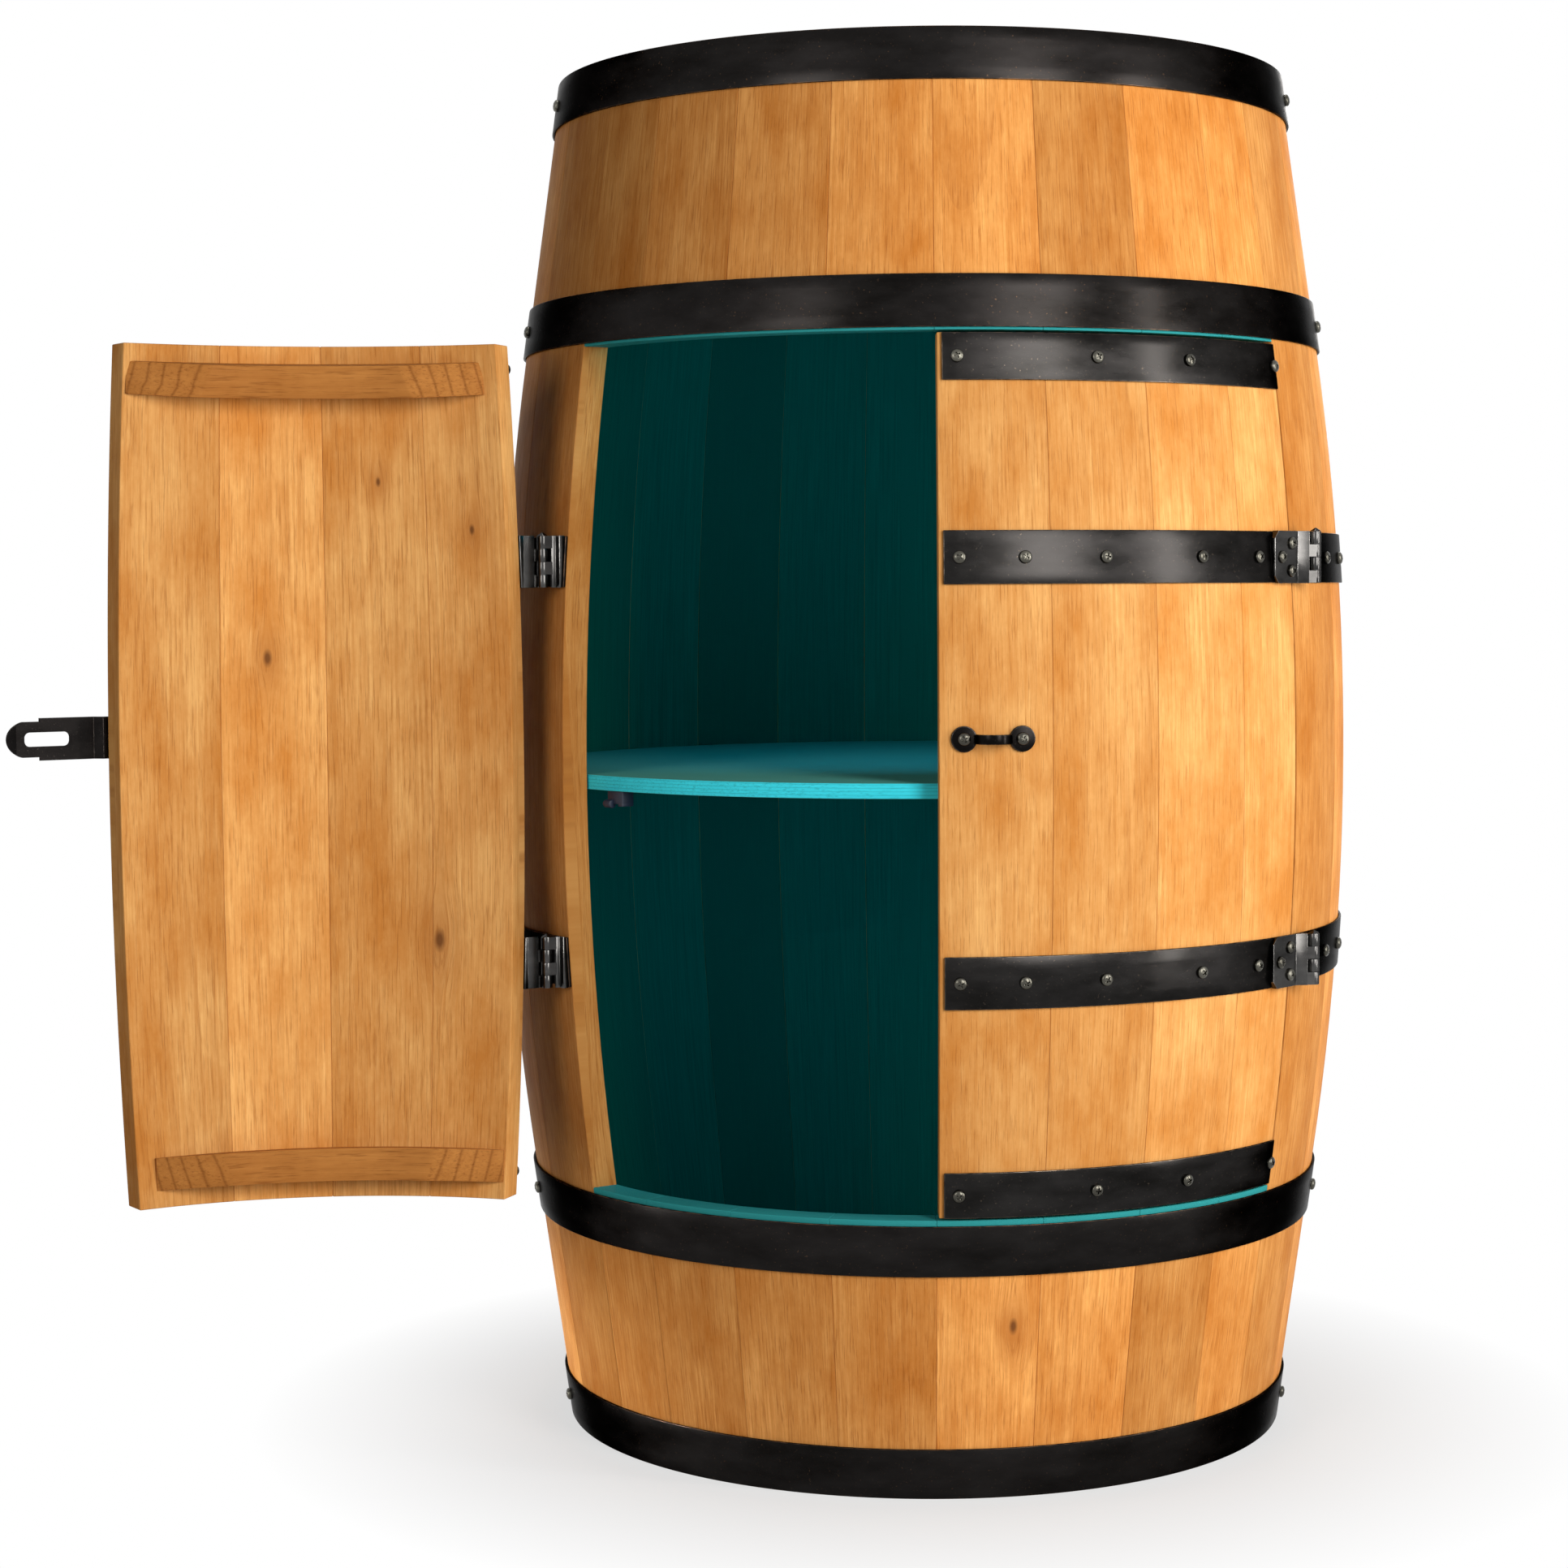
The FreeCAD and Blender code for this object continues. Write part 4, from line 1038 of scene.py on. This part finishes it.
def seatOnHoop(bm):
    # The underside follows the steel, which leans with the skin.
    for vert in bm.verts:
        radius = radiusOf(vert.co)
        if radius < hingeReach + hingeForm["seatDepth"]:
            reach = (skinAt(vert.co.z, hoopOut) + hingeForm["seat"]) / radius
            vert.co.x *= reach
            vert.co.y *= reach


def latheAt(centre, line, loop=False):
    # Turns a line of radius and height pairs about an upright axis through the centre.
    points = [(centre.x + radius, centre.y, z) for radius, z in line]
    return lathe(points, hingeForm["turns"], (centre.x, centre.y, 0), loop=loop)


def makeKnuckle(form, centre, low, high):
    inner, outer = form["pin"] + hingeForm["fit"], form["knuckle"]
    corners = [(inner, low), (outer, low), (outer, high), (inner, high)]
    bm = latheAt(centre, corners, loop=True)
    bevelSharp(bm, form["edge"], 2)
    return bm


def knucklesAndArms(side, low, first, arm, armEdge):
    # Every other segment of the hinge has a knuckle and an arm to its leaf.
    parts = []
    for index in range(first, hingeForm["knuckles"], 2):
        bottom = low + index * segment + hingeForm["gap"] / 2
        height = segment - hingeForm["gap"]
        block = raised([hingeSpot(side, t, n, bottom) for t, n in arm], height)
        if armEdge:
            bevelSharp(block, armEdge)
        parts += [block, makeKnuckle(hingeForm, hingeSpot(side, 0, 0, 0), bottom, bottom + height)]
    return parts


def makeDoorLeaf(side, z):
    low = z - hingeForm["length"] / 2
    near, far, inward = leafEnds()
    touch, under, bend = tangentSpots(*near)
    thick = inward * hingeForm["thick"]
    share = (rampLength - hingeForm["rampSolid"] - touch.x) / (near.x - touch.x)
    over, beneath = touch.lerp(near, share), under.lerp(bend, share)
    outline = (over, near, far, far + thick, near + thick, bend, beneath)
    plate = raised([hingeSpot(side, spot.x, spot.y, low) for spot in outline], hingeForm["length"])
    seatOnHoop(plate)
    outward = (far - near).normalized()
    spot = far - outward * hingeForm["corner"]
    for rise, edge in ((1, low + hingeForm["length"]), (-1, low)):
        normal = hingeSpot(side, outward.x, outward.y, rise) - hingeSpot(side, 0, 0, 0)
        cutAway(plate, hingeSpot(side, spot.x, spot.y, edge), normal)
    bevelSharp(plate, hingeForm["edge"], 2, hingeForm["leafSharp"])
    reach = (near - touch).normalized() * hingeForm["joined"]
    arm = (touch, over + reach, beneath + reach, under)
    return gather([plate] + knucklesAndArms(side, low, 0, arm, hingeForm["fingerEdge"]))


def makeBarrelLeaf(side, z):
    # A flange on the hoop's end and a web that stands up beside the knuckles.
    low = z - hingeForm["length"] / 2
    knee = hingeForm["knuckle"]
    web = knee - hingeForm["thick"]
    end = hingeForm["setback"] - hingeForm["flangeGap"]
    base = hingeForm["seat"] - hingeForm["stand"]
    top = -knee - hingeForm["webClear"]
    foot = [(web, base), (web, top), (knee, top), (knee, leafTop), (end, leafTop), (end, base)]
    plate = raised([hingeSpot(side, t, n, low) for t, n in foot], hingeForm["length"])
    seatOnHoop(plate)
    bevelSharp(plate, hingeForm["edge"], 2)
    root = top - hingeForm["joined"]
    arm = [(web, root), (web, 0), (knee, 0), (knee, root)]
    return gather([plate] + knucklesAndArms(side, low, 1, arm, 0))


def makePins(side):
    pins = []
    pin, centre = hingeForm["pin"], hingeSpot(side, 0, 0, 0)
    for z in openHoops.values():
        low, high = z - hingeForm["length"] / 2, z + hingeForm["length"] / 2
        cap = high + hingeForm["cap"]
        line = [(0, low), (pin, low), (pin, high), (hingeForm["knuckle"], high), (pin / 4, cap), (0, cap)]
        bm = latheAt(centre, line)
        bevelSharp(bm, hingeForm["edge"], 2)
        pins.append(bm)
    return gather(pins)


def leafSeats(side):
    near, far, inward = leafEnds()
    normal = hingeSpot(side, -inward.x, -inward.y, 0) - hingeSpot(side, 0, 0, 0)
    width, spread = hingeForm["leafWidth"], hingeForm["screwSpread"]
    edgeInset = width - hingeForm["edgeScrewInset"]
    seats = []
    for z in openHoops.values():
        for inset, rise in ((hingeForm["screwInset"], 0), (edgeInset, spread), (edgeInset, -spread)):
            spot = far.lerp(near, inset / width)
            seats.append((hingeSpot(side, spot.x, spot.y, z + rise) + normal * screwForm["seat"], normal))
    return seats


for door, side in doorSides.items():
    for row, z in zip(("upper", "lower"), openHoops.values()):
        stem = f"{door}_{row}_hinge_"
        own = door + row.capitalize()
        hang(makeDoorLeaf(side, z), door, "hingeSteel", stem + "door_leaf", name=own + "DoorLeaf")
        settle(makeBarrelLeaf(side, z), "barrel", "hingeSteel", stem + "barrel_leaf", name=own + "BarrelLeaf")
    settle(makePins(side), "barrel", "hingeSteel", door + "_hinge_pins")
print("hinges made")


# Hasp. Plan points are taken from the middle of the doorway: s towards +X and n outwards.

haspForm = {"z": 0.42, "height": 0.0234, "setback": 0.012, "leaf": 0.022, "knuckle": 0.0026, "pin": 0.0012,
            "segments": 5, "thick": 0.0015, "clear": 0.0003, "edge": 0.00025, "rise": 0.006, "sweepStep": 1.0,
            "screwSetback": 0.016, "screwSpacing": 0.012, "armReach": 0.0032, "armFoot": 0.0001,
            "armTop": 0.0014, "armClear": 0.0003, "pinTurns": 24}
strapForm = {"bend": 0.0012, "ramp": 0.004, "lift": 0.0001, "step": 0.0365, "stepIn": 0.0019,
             "length": 0.0544, "tip": 0.008, "tipSteps": 10, "curl": 0.0045, "curlRise": 0.0026,
             "curlPower": 1.1, "curlSteps": 5, "gapNear": 0.0009, "gapFar": 0.0051, "gapSide": 0.0013,
             "corner": 0.003, "cornerSteps": 6, "flat": 0.5, "sharp": 12, "joined": 0.0004, "armTop": 0.0017}
stapleForm = {"azimuth": 6.8, "foot": 0.007, "footEdge": 0.0005, "footTurns": 48, "overlap": 0.00135,
              "thick": 0.0016, "span": 0.020, "rise": 0.012, "width": 0.0052, "edge": 0.0003, "archSteps": 20}
haspLow = haspForm["z"] - haspForm["height"] / 2
haspReach = skinAt(haspLow)
haspDrop = haspReach - math.sqrt(haspReach ** 2 - haspForm["setback"] ** 2)
haspAxis = haspForm["clear"] + haspForm["knuckle"] - haspDrop
haspSegment = haspForm["height"] / haspForm["segments"]
strapLevel = (hingeForm["seat"] + stapleForm["thick"] + screwForm["seat"] + screwForm["crown"]
              + strapForm["lift"])
stapleReach = skinAt(haspForm["z"])


def haspSpot(s, n, z):
    return Vector((s, -haspReach - n, z))


def haspAzimuth(length):
    # The azimuth at a distance from the hasp's pin, away from the doorway's middle.
    return -math.degrees(math.asin((haspForm["setback"] + length) / haspReach))


def haspKnuckles(first, arm):
    # Every other segment has a knuckle and an arm, with a gap beside its neighbours.
    parts = []
    for index in range(first, haspForm["segments"], 2):
        low = haspLow + index * haspSegment + (hingeForm["gap"] / 2 if index else 0)
        high = haspLow + (index + 1) * haspSegment
        high -= hingeForm["gap"] / 2 if index < haspForm["segments"] - 1 else 0
        parts += [makeKnuckle(haspForm, haspSpot(-haspForm["setback"], haspAxis, 0), low, high),
                  raised([haspSpot(s, n, low) for s, n in arm], high - low)]
    return parts


def makeHaspLeaf():
    start = haspAzimuth(haspForm["leaf"])
    end = haspAzimuth(haspForm["knuckle"] + haspForm["clear"])
    seat, high = hingeForm["seat"], haspLow + haspForm["height"]
    section = shellSection(haspLow, high, seat + haspForm["thick"], seat, haspForm["rise"])
    plate = sweepRound(section, start, end, haspForm["sweepStep"])
    bevelSharp(plate, haspForm["edge"], 2)
    s = -haspForm["setback"]
    root = s - haspForm["armReach"]
    arm = [(root, haspForm["armFoot"]), (s, haspAxis - haspForm["knuckle"] + haspForm["armFoot"]),
           (s, haspAxis - haspForm["pin"] - haspForm["armClear"]), (root, haspForm["armTop"])]
    return gather([plate] + haspKnuckles(0, arm))


def strapRise(s):
    # Low at the knuckles, up a ramp to the screws' height, and curled up at the tip.
    clear, bend, ramp = haspForm["clear"], strapForm["bend"], strapForm["ramp"]
    curl = strapForm["length"] - strapForm["curl"]
    if s <= bend:
        return clear
    if s <= bend + ramp:
        return clear + (strapLevel - clear) * (s - bend) / ramp
    if s <= curl:
        return strapLevel
    return strapLevel + strapForm["curlRise"] * ((s - curl) / strapForm["curl"]) ** strapForm["curlPower"]


def roundedSlot():
    staple = stapleReach * math.sin(math.radians(stapleForm["azimuth"]))
    left = staple - stapleForm["span"] / 2 - strapForm["gapNear"]
    right = left + stapleForm["span"] + strapForm["gapNear"] + strapForm["gapFar"]
    corner = strapForm["corner"]
    rise = stapleForm["width"] / 2 + strapForm["gapSide"] - corner
    points = []
    for s, up, start in ((right - corner, rise, 0), (left + corner, rise, 90),
                         (left + corner, -rise, 180), (right - corner, -rise, 270)):
        for step in range(strapForm["cornerSteps"] + 1):
            angle = math.radians(start + 90 * step / strapForm["cornerSteps"])
            points.append((s + corner * math.cos(angle), up + corner * math.sin(angle)))
    return points


def strapOutline(start):
    wide = haspForm["height"] / 2
    narrow = wide - strapForm["stepIn"]
    step, tip = strapForm["step"], strapForm["tip"]
    radius = (tip ** 2 + narrow ** 2) / (2 * tip)
    sweep = math.asin(narrow / radius)
    outline = [(start, -wide), (step, -wide), (step, -narrow)]
    for index in range(-strapForm["tipSteps"], strapForm["tipSteps"] + 1):
        angle = sweep * index / strapForm["tipSteps"]
        outline.append((strapForm["length"] - radius + radius * math.cos(angle), radius * math.sin(angle)))
    return outline + [(step, narrow), (step, wide), (start, wide)]


def makeStrap():
    # A flat plate is cut out, split where it bends, thickened and then bent.
    start = -haspForm["setback"] + haspForm["knuckle"] + haspForm["clear"]
    bm = bmesh.new()
    edges = []
    for loop in (strapOutline(start), roundedSlot()):
        verts = [bm.verts.new((s, 0, rise)) for s, rise in loop]
        edges += [bm.edges.new(pair) for pair in zip(verts, verts[1:] + verts[:1])]
    bmesh.ops.triangle_fill(bm, use_beauty=True, use_dissolve=False, edges=edges)
    curl = strapForm["length"] - strapForm["curl"]
    bends = [strapForm["bend"], strapForm["bend"] + strapForm["ramp"]]
    steps = strapForm["curlSteps"]
    bends += [curl + strapForm["curl"] * part / steps for part in range(steps)]
    for s in bends:
        bmesh.ops.bisect_plane(bm, geom=bm.verts[:] + bm.edges[:] + bm.faces[:], plane_co=(s, 0, 0),
                               plane_no=(1, 0, 0))
    drawOut(bm, bm.faces[:], (0, -haspForm["thick"], 0))
    for vert in bm.verts:
        vert.co = haspSpot(vert.co.x, strapRise(vert.co.x) - vert.co.y, haspForm["z"] + vert.co.z)
    bm.normal_update()
    bmesh.ops.dissolve_limit(bm, angle_limit=math.radians(strapForm["flat"]), verts=bm.verts, edges=bm.edges,
                             use_dissolve_boundaries=False)
    bevelSharp(bm, haspForm["edge"], 2)
    s, root, joined = -haspForm["setback"], start + strapForm["joined"], strapForm["joined"]
    arm = [(s, joined), (root, joined), (root, strapForm["armTop"]),
           (s, haspAxis - haspForm["pin"] - haspForm["armClear"])]
    return gather([bm] + haspKnuckles(1, arm))


def makeHaspPin():
    centre = haspSpot(-haspForm["setback"], haspAxis, haspForm["z"])
    bm = bmesh.new()
    bmesh.ops.create_cone(bm, cap_ends=True, segments=haspForm["pinTurns"], radius1=haspForm["pin"],
                          radius2=haspForm["pin"], depth=haspForm["height"],
                          matrix=Matrix.Translation(centre))
    bevelSharp(bm, haspForm["edge"], 2)
    return bm


def haspSeats():
    azimuth = haspAzimuth(haspForm["screwSetback"])
    half = haspForm["screwSpacing"] / 2
    off = hingeForm["seat"] + haspForm["thick"]
    return [skinSeat(azimuth, haspForm["z"] + rise, off) for rise in (-half, half)]


def stapleAzimuths():
    half = math.degrees((stapleForm["span"] / 2 + stapleForm["foot"] - stapleForm["overlap"]) / stapleReach)
    return stapleForm["azimuth"] - half, stapleForm["azimuth"] + half


def stapleSeats():
    off = hingeForm["seat"] + stapleForm["thick"]
    return [skinSeat(azimuth, haspForm["z"], off) for azimuth in stapleAzimuths()]


def makeStaple():
    # One leg up, half a turn over and the other leg down, between two round feet.
    half, wide = stapleForm["span"] / 2, stapleForm["width"] / 2
    inner = half - stapleForm["thick"]
    leg = stapleForm["rise"] - half
    low = stapleForm["thick"] / 2
    bm = bmesh.new()
    corners = [(-half, -wide), (-inner, -wide), (-inner, wide), (-half, wide)]
    face = bm.faces.new([bm.verts.new((s, -stapleReach - low, haspForm["z"] + rise)) for s, rise in corners])
    top = drawOut(bm, [face], (0, low - leg, 0))[1][0]
    arch = bmesh.ops.spin(bm, geom=[top] + top.edges[:] + top.verts[:], cent=(0, -stapleReach - leg, 0),
                          axis=(0, 0, 1), angle=math.pi, steps=stapleForm["archSteps"])["geom_last"]
    last = next(g for g in arch if isinstance(g, bmesh.types.BMFace))
    drawOut(bm, [last], (0, leg - low, 0))
    bmesh.ops.delete(bm, geom=[f for f in (top, last) if f.is_valid], context="FACES_ONLY")
    bmesh.ops.remove_doubles(bm, verts=bm.verts, dist=1e-6)
    bmesh.ops.recalc_face_normals(bm, faces=bm.faces)
    bevelSharp(bm, stapleForm["edge"], 3)
    turn = Matrix.Rotation(math.radians(stapleForm["azimuth"]), 3, "Z")
    bmesh.ops.rotate(bm, verts=bm.verts, cent=(0, 0, 0), matrix=turn)
    parts = [bm]
    for azimuth in stapleAzimuths():
        foot = disc(stapleForm["foot"], 0, stapleForm["thick"], stapleForm["footTurns"])
        bevelSharp(foot, stapleForm["footEdge"], 3)
        bmesh.ops.transform(foot, verts=foot.verts, matrix=seatMatrix(*skinSeat(azimuth, haspForm["z"], 0)))
        parts.append(foot)
    return gather(parts)


hang(makeHaspLeaf(), "left", "haspSteel", "hasp_leaf")
hang(makeStrap(), "left", "haspSteel", "hasp_strap", strapForm["sharp"], body="hasp_strap")
hang(makeHaspPin(), "left", "haspSteel", "hasp_pin")
hang(makeStaple(), "right", "haspSteel", "staple")
settle(makeScrews(hoopSeats()), "barrel", "screwSteel", "hoop_screws")
hang(makeScrews(bandSeats(-1) + leafSeats(-1) + haspSeats()), "left", "screwSteel", "left_door_screws")
hang(makeScrews(bandSeats(1) + leafSeats(1) + stapleSeats()), "right", "screwSteel", "right_door_screws")
print("hasp, staple and screws made")


# Control box under the shelf, with its eye and foot, and the light strip. The eye's line holds shares of its
# radius and heights in metres.

boxForm = {"size": (0.014, 0.008, 0.0074), "foot": (0.0045, 0.0013), "joined": 0.001, "setback": 0.0025,
           "inset": 0.024, "edge": 0.0005}
eyeForm = {"radius": 0.0024, "length": 0.0075, "overhang": 0.0024, "turns": 28, "edge": 0.0002,
           "line": [(0, 0), (0.6, 0), (0.75, 0.0003), (0.8, 0.0009), (1, 0.0012)]}


def makeEye():
    radius, length = eyeForm["radius"], eyeForm["length"]
    line = [(radius * share, x) for share, x in eyeForm["line"]] + [(radius, length), (0, length)]
    bm = lathe([(x, r, 0) for r, x in line], eyeForm["turns"], axis=(1, 0, 0))
    bevelSharp(bm, eyeForm["edge"], 2)
    return bm


def makeControlBox():
    wide, deep, high = boxForm["size"]
    footWide, footHigh = boxForm["foot"]
    front = shelfRadius - boxForm["setback"]
    low = shelfBottom - high

    def block(x0, x1, z0, z1):
        corners = ((x0, -front), (x1, -front), (x1, deep - front), (x0, deep - front))
        made = raised([Vector((x, y, z0)) for x, y in corners], z1 - z0)
        bevelSharp(made, boxForm["edge"], 2)
        return made

    eye = makeEye()
    bmesh.ops.translate(eye, verts=eye.verts, vec=(-wide / 2 - eyeForm["overhang"], -front, low))
    whole = gather([block(-wide / 2, wide / 2, low, shelfBottom),
                    block(wide / 2 - footWide, wide / 2, low - footHigh, low + boxForm["joined"]), eye])
    turn = Matrix.Rotation(math.radians(arcAngle(boxForm["inset"]) - doorwayHalf), 3, "Z")
    bmesh.ops.rotate(whole, verts=whole.verts, cent=(0, 0, 0), matrix=turn)
    settle(whole, "barrel", "controlPlastic", "led_receiver")


makeControlBox()
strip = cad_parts["led_strip"].data
strip.materials.clear()
strip.materials.append(stripMilk)
print("control box and strip made")


# Floor and background. Both are white where the camera, steel or glass sees them.

floorForm = {"size": 7.0, "near": 0.235, "far": 0.41, "least": 0.64, "colour": (0.55, 0.55, 0.55),
             "rough": 0.9, "specular": 0.1}
worldLight = {"colour": (1, 1, 1), "strength": 0.02}


def seenDirectly(tree):
    path = tree.nodes.new("ShaderNodeLightPath").outputs
    seen = calc(tree, "MAXIMUM", path["Is Camera Ray"], path["Is Glossy Ray"])
    return calc(tree, "MAXIMUM", seen, path["Is Transmission Ray"])


def makeFloor():
    # Near the barrel the paper itself shows, with the shadow on it, and farther off it turns white.
    bm = bmesh.new()
    bmesh.ops.create_grid(bm, x_segments=2, y_segments=2, size=floorForm["size"])
    floor = meshObject(bm, "floor")
    material, tree, shader = newMaterial("floorPaper")
    plug(tree, floorForm["colour"], shader.inputs["Base Color"])
    shader.inputs["Roughness"].default_value = floorForm["rough"]
    shader.inputs["Specular IOR Level"].default_value = floorForm["specular"]
    distance = tree.nodes.new("ShaderNodeVectorMath")
    distance.operation = "LENGTH"
    plug(tree, objectPlace(tree), distance.inputs[0])
    far = distance.outputs["Value"]
    whiteness = span(tree, far, floorForm["near"], floorForm["far"], floorForm["least"], 1.0)
    blend = tree.nodes.new("ShaderNodeMixShader")
    plug(tree, times(tree, whiteness, seenDirectly(tree)), blend.inputs[0])
    plug(tree, shader, blend.inputs[1])
    plug(tree, tree.nodes.new("ShaderNodeEmission"), blend.inputs[2])
    plug(tree, blend, tree.nodes["Material Output"].inputs["Surface"])
    floor.data.materials.append(material)


def makeWorld():
    world = bpy.data.worlds.new("studio")
    world.use_nodes = True
    tree = world.node_tree
    background = tree.nodes["Background"].inputs
    plug(tree, worldLight["colour"], background["Color"])
    plug(tree, span(tree, seenDirectly(tree), 0, 1, worldLight["strength"], 1.0), background["Strength"])
    bpy.context.scene.world = world


makeFloor()
makeWorld()
print("floor and world made")
